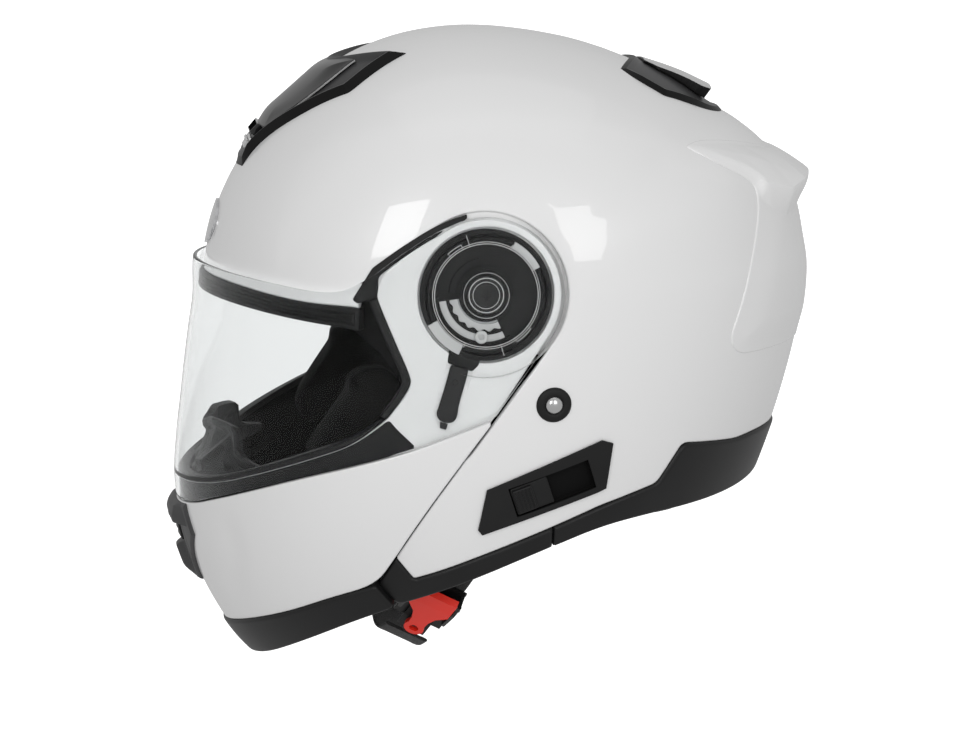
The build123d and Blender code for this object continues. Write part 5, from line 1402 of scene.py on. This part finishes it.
    # pivot bolt with its cross recess
    b = Build()
    cross = []
    for k in range(4):
        a = k * math.pi / 2
        for dx, dy in ((0.55, 0.55), (0.55, 2.4), (-0.55, 2.4)):
            cross.append((dx * math.cos(a) - dy * math.sin(a), dx * math.sin(a) + dy * math.cos(a)))
    order = [cross[3 * k + j] for k in range(4) for j in (1, 2, 0)]
    star = []
    for k in range(4):
        a = k * math.pi / 2
        for dx, dy in ((0.6, 2.4), (-0.6, 2.4), (-0.6, 0.6)):
            star.append((dx * math.cos(a) - dy * math.sin(a), dx * math.sin(a) + dy * math.cos(a)))
    v, f = prism(circle(8.3), [np.array(star)], 119.9, 121.15, 0.35)
    b.add(to_side(v, sign), f, flip=sign < 0)
    v, f = prism(circle(4.95), [], 107.8, 120.2, 0.1)
    b.add(to_side(v, sign), f, flip=sign < 0)
    for r0, w in ((7.6, 0.4), (5.9, 0.25)):
        v, f = prism(circle(r0 + w), [circle(r0)], 121.0, 121.45, 0.08)
        b.add(to_side(v, sign), f, 1, flip=sign < 0)
    finish_piece(f"pivot_bolt_{tag}", b.mesh("bolt"), "shell", [M_BLACK_STEEL, M_RING],
                 "pivot_bolts")

# ------------------------------------------------------------- padded pieces
def into_mesh(o):
    """The object's mesh with its modifiers worked in, and none left on it."""
    found = bpy.data.meshes.new_from_object(
        o.evaluated_get(bpy.context.evaluated_depsgraph_get()), depsgraph=None)
    old = o.data
    o.modifiers.clear()
    o.data = found
    bpy.data.meshes.remove(old)


def points_of(mesh):
    co = np.empty(len(mesh.vertices) * 3)
    mesh.vertices.foreach_get("co", co)
    return co.reshape(-1, 3)


def vertex_normals(mesh):
    n = np.empty(len(mesh.vertices) * 3)
    mesh.vertex_normals.foreach_get("vector", n)
    return n.reshape(-1, 3)


def put_points(mesh, co):
    mesh.vertices.foreach_set("co", np.ascontiguousarray(co, float).reshape(-1))
    mesh.update()


def hold_inside(co, tree, gap):
    """Points back inside the room that the closed mesh of the tree bounds."""
    out = co.copy()
    for k, p in enumerate(co):
        at_, n_, _, d_ = tree.find_nearest(Vector(p))
        side_ = (Vector(p) - at_).dot(n_)
        if side_ > -gap:
            out[k] = np.array(at_ - n_ * gap)
    return out


def pad(name, node, body, mat, lines, voxel=0.005, start=1.6, cap=6.0, depth=1.9,
        width=4.2, faces=None):
    """A padded piece blown up inside the room of its solid, with sewn channels along lines."""
    source = frame["nodes"][node]
    mesh = source.data.copy()
    mesh.transform(source.matrix_world)
    room = bmesh.new()
    room.from_mesh(mesh)
    bmesh.ops.recalc_face_normals(room, faces=room.faces)
    tree = BVHTree.FromBMesh(room)
    room.free()
    o = bpy.data.objects.new(name, mesh)
    bpy.context.scene.collection.objects.link(o)
    remesh = o.modifiers.new("remesh", "REMESH")
    remesh.mode, remesh.voxel_size = "VOXEL", voxel
    into_mesh(o)
    first = points_of(o.data) - vertex_normals(o.data) * start * 0.001
    put_points(o.data, first)
    cloth = o.modifiers.new("cloth", "CLOTH")
    cloth.settings.quality = 5
    cloth.settings.use_pressure = True
    cloth.settings.uniform_pressure_force = 4.0
    cloth.settings.effector_weights.gravity = 0.0
    cloth.collision_settings.use_collision = False
    cloth.point_cache.frame_start, cloth.point_cache.frame_end = 1, 20
    for at_frame in range(1, 21):
        bpy.context.scene.frame_set(at_frame)
    into_mesh(o)
    bpy.context.scene.frame_set(1)
    moved_by = points_of(o.data) - first
    far = np.linalg.norm(moved_by, axis=1, keepdims=True)
    moved_by *= np.minimum(1.0, cap * 0.001 / np.maximum(far, 1e-9))
    put_points(o.data, first + moved_by)
    put_points(o.data, hold_inside(points_of(o.data), tree, 0.0004))
    o.modifiers.new("smooth", "SUBSURF").levels = 1
    into_mesh(o)
    co, n = points_of(o.data), vertex_normals(o.data)
    sink = np.zeros(len(co))
    for line, use in lines:
        flat = use(co * 1000.0, n)
        d_ = np.abs(line_gap(flat[0], np.array(line, float)))
        sink = np.maximum(sink, depth * (1 - np.clip(d_ / width, 0, 1) ** 2) ** 2 * flat[1])
    co = co - n * (sink * 0.001)[:, None]
    put_points(o.data, co)
    o.data.materials.clear()
    o.data.materials.append(mat)
    o.data.polygons.foreach_set("use_smooth", [True] * len(o.data.polygons))
    o.data.polygons.foreach_set("material_index", [0] * len(o.data.polygons))
    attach(o, body)
    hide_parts(node)
    return o


M_PAD = material("cheek_fabric", (0.0045, 0.0045, 0.0045), 0.95, tone=0.25, spec=0.1,
                 weave=(210.0, 260.0, 0.55), grain_depth=0.2)
M_NECK = material("neck_leather", (0.006, 0.006, 0.006), 0.6, tone=0.25, spec=0.2, grain=0.5,
                  grain_scale=1400.0, grain_depth=0.06)
in_side = lambda p, n: (p[:, 1:3], np.ones(len(p)))
in_top = lambda p, n: (p[:, 0:2], (n[:, 2] < 0.5).astype(float))
CHEEK_LINES = [
    ([(-14.0, -44.0), (34.0, -46.0), (44.0, -64.0), (38.0, -92.0), (8.0, -104.0),
      (-22.0, -112.0), (-36.0, -92.0), (-28.0, -58.0), (-14.0, -44.0)], in_side),
    ([(-4.0, -46.0), (2.0, -104.0)], in_side), ([(20.0, -46.0), (22.0, -98.0)], in_side),
    ([(-42.0, -46.0), (-60.0, -62.0), (-66.0, -88.0)], in_side)]
for tag in ("left", "right"):
    pad(f"cheek_cushion_{tag}", f"cheek_pad_{tag}", "shell", M_PAD, CHEEK_LINES)
CROWN_LINES = [([(s_ * 30.0, -110.0), (s_ * 26.0, 0.0), (s_ * 30.0, 120.0)], in_top)
               for s_ in (-1, 1)]
CROWN_LINES += [([(-90.0, y_), (90.0, y_)], in_top) for y_ in (-40.0, 10.0, 60.0)]
pad("crown_cushion", "crown_liner", "shell", M_LINING, CROWN_LINES, voxel=0.0045, start=1.2,
    depth=1.5)
NECK_LINES = [([(50.0, -111.0), (80.0, -108.0), (110.0, -104.0), (150.0, -92.0)], in_side)]
neck = pad("neck_cushion", "neck_roll", "shell", M_NECK, NECK_LINES, start=1.0, depth=1.4)
# It tucks up under the rim at the sides and hangs lowest at the back.
co = points_of(neck.data)
keep = np.clip(1.0 - np.abs(co[:, 0]) / 0.125, 0.1, 1.0)
under = np.minimum(co[:, 2] + 0.104, 0.0)
co[:, 2] += under * (keep - 1.0)
put_points(neck.data, co)

# ---------------------------------------------------- the CAD nodes that stay
for name, o in frame["nodes"].items():
    slot_name = None
    for part in frame["record"]["subparts"]:
        if name in (part.get("node"), part.get("name")) or name in (part.get("nodes") or []):
            slot_name = part.get("material_slot") or part.get("material") or part.get("slot")
    o.data.materials.clear()
    o.data.materials.append(M_BLACK_STEEL if name.startswith("buckle_frame")
                            else FOR_SLOT.get(slot_name, M_MATTE))
    o.data.polygons.foreach_set("use_smooth", [True] * len(o.data.polygons))

# ----------------------------------------------------------------- the stage
def stage_piece(name, mesh, mat):
    o = bpy.data.objects.new(name, mesh)
    bpy.context.scene.collection.objects.link(o)
    mesh.materials.append(mat)
    mesh.polygons.foreach_set("use_smooth", [True] * len(mesh.polygons))
    o.visible_glossy = o.visible_diffuse = False
    return o


floor_mat = material("pale_floor", (0.93, 0.93, 0.93), 0.8, tone=0.004, spec=0.1)
glow = floor_mat.node_tree.nodes["Principled BSDF"]
glow.inputs["Emission Color"].default_value = (1, 1, 1, 1)
glow.inputs["Emission Strength"].default_value = 0.75
FLOOR_Z = -262.0
rows = []
for k in range(40):
    t = k / 39
    if t < 0.45:
        rows.append((-2600 + t / 0.45 * 3400, FLOOR_Z))
    else:
        a = (t - 0.45) / 0.55 * math.pi / 2
        rows.append((800 + 900 * math.sin(a), FLOOR_Z + 900 * (1 - math.cos(a))))
rows.append((1700, 4200))
verts, faces = [], []
for d_, z_ in rows:
    for w_ in (-4000, 4000):
        p = -BACK * d_ + RIGHT * w_
        flat = Vector((-CB * d_ + SB * w_, SB * d_ + CB * w_, z_))
        verts.append(tuple(flat))
for k in range(len(rows) - 1):
    faces.append([2 * k, 2 * k + 1, 2 * k + 3, 2 * k + 2])
stage_piece("floor", new_mesh("floor", verts, faces), floor_mat)


def area(name, where, to, size, power, shape="RECTANGLE", size_y=None, spread=None):
    light = bpy.data.lights.new(name, "AREA")
    light.shape = shape
    light.size = size
    light.size_y = size_y or size
    light.energy = power
    if spread:
        light.spread = math.radians(spread)
    o = bpy.data.objects.new(name, light)
    bpy.context.scene.collection.objects.link(o)
    o.location = where
    o.rotation_euler = (Vector(to) - Vector(where)).to_track_quat("-Z", "Y").to_euler()
    return o


area("key", (2.05, -1.0, 0.78), (0, 0, -0.02), 0.75, 10, size_y=0.85)
area("fill", (2.05, 0.72, 0.66), (0, 0, -0.02), 0.62, 8, size_y=1.25)
area("top", (0.0, 0.1, 2.4), (0, 0, 0), 2.2, 4, size_y=2.2)
low = area("low_side", (2.5, 0.2, -0.6), (0, 0, -0.04), 2.2, 15, size_y=1.8)
low.visible_glossy = False
world = bpy.data.worlds.new("studio")
world.use_nodes = True
world.node_tree.nodes["Background"].inputs[0].default_value = (1, 1, 1, 1)
world.node_tree.nodes["Background"].inputs[1].default_value = 0.53
bpy.context.scene.world = world
bpy.context.scene.view_settings.view_transform = "Standard"
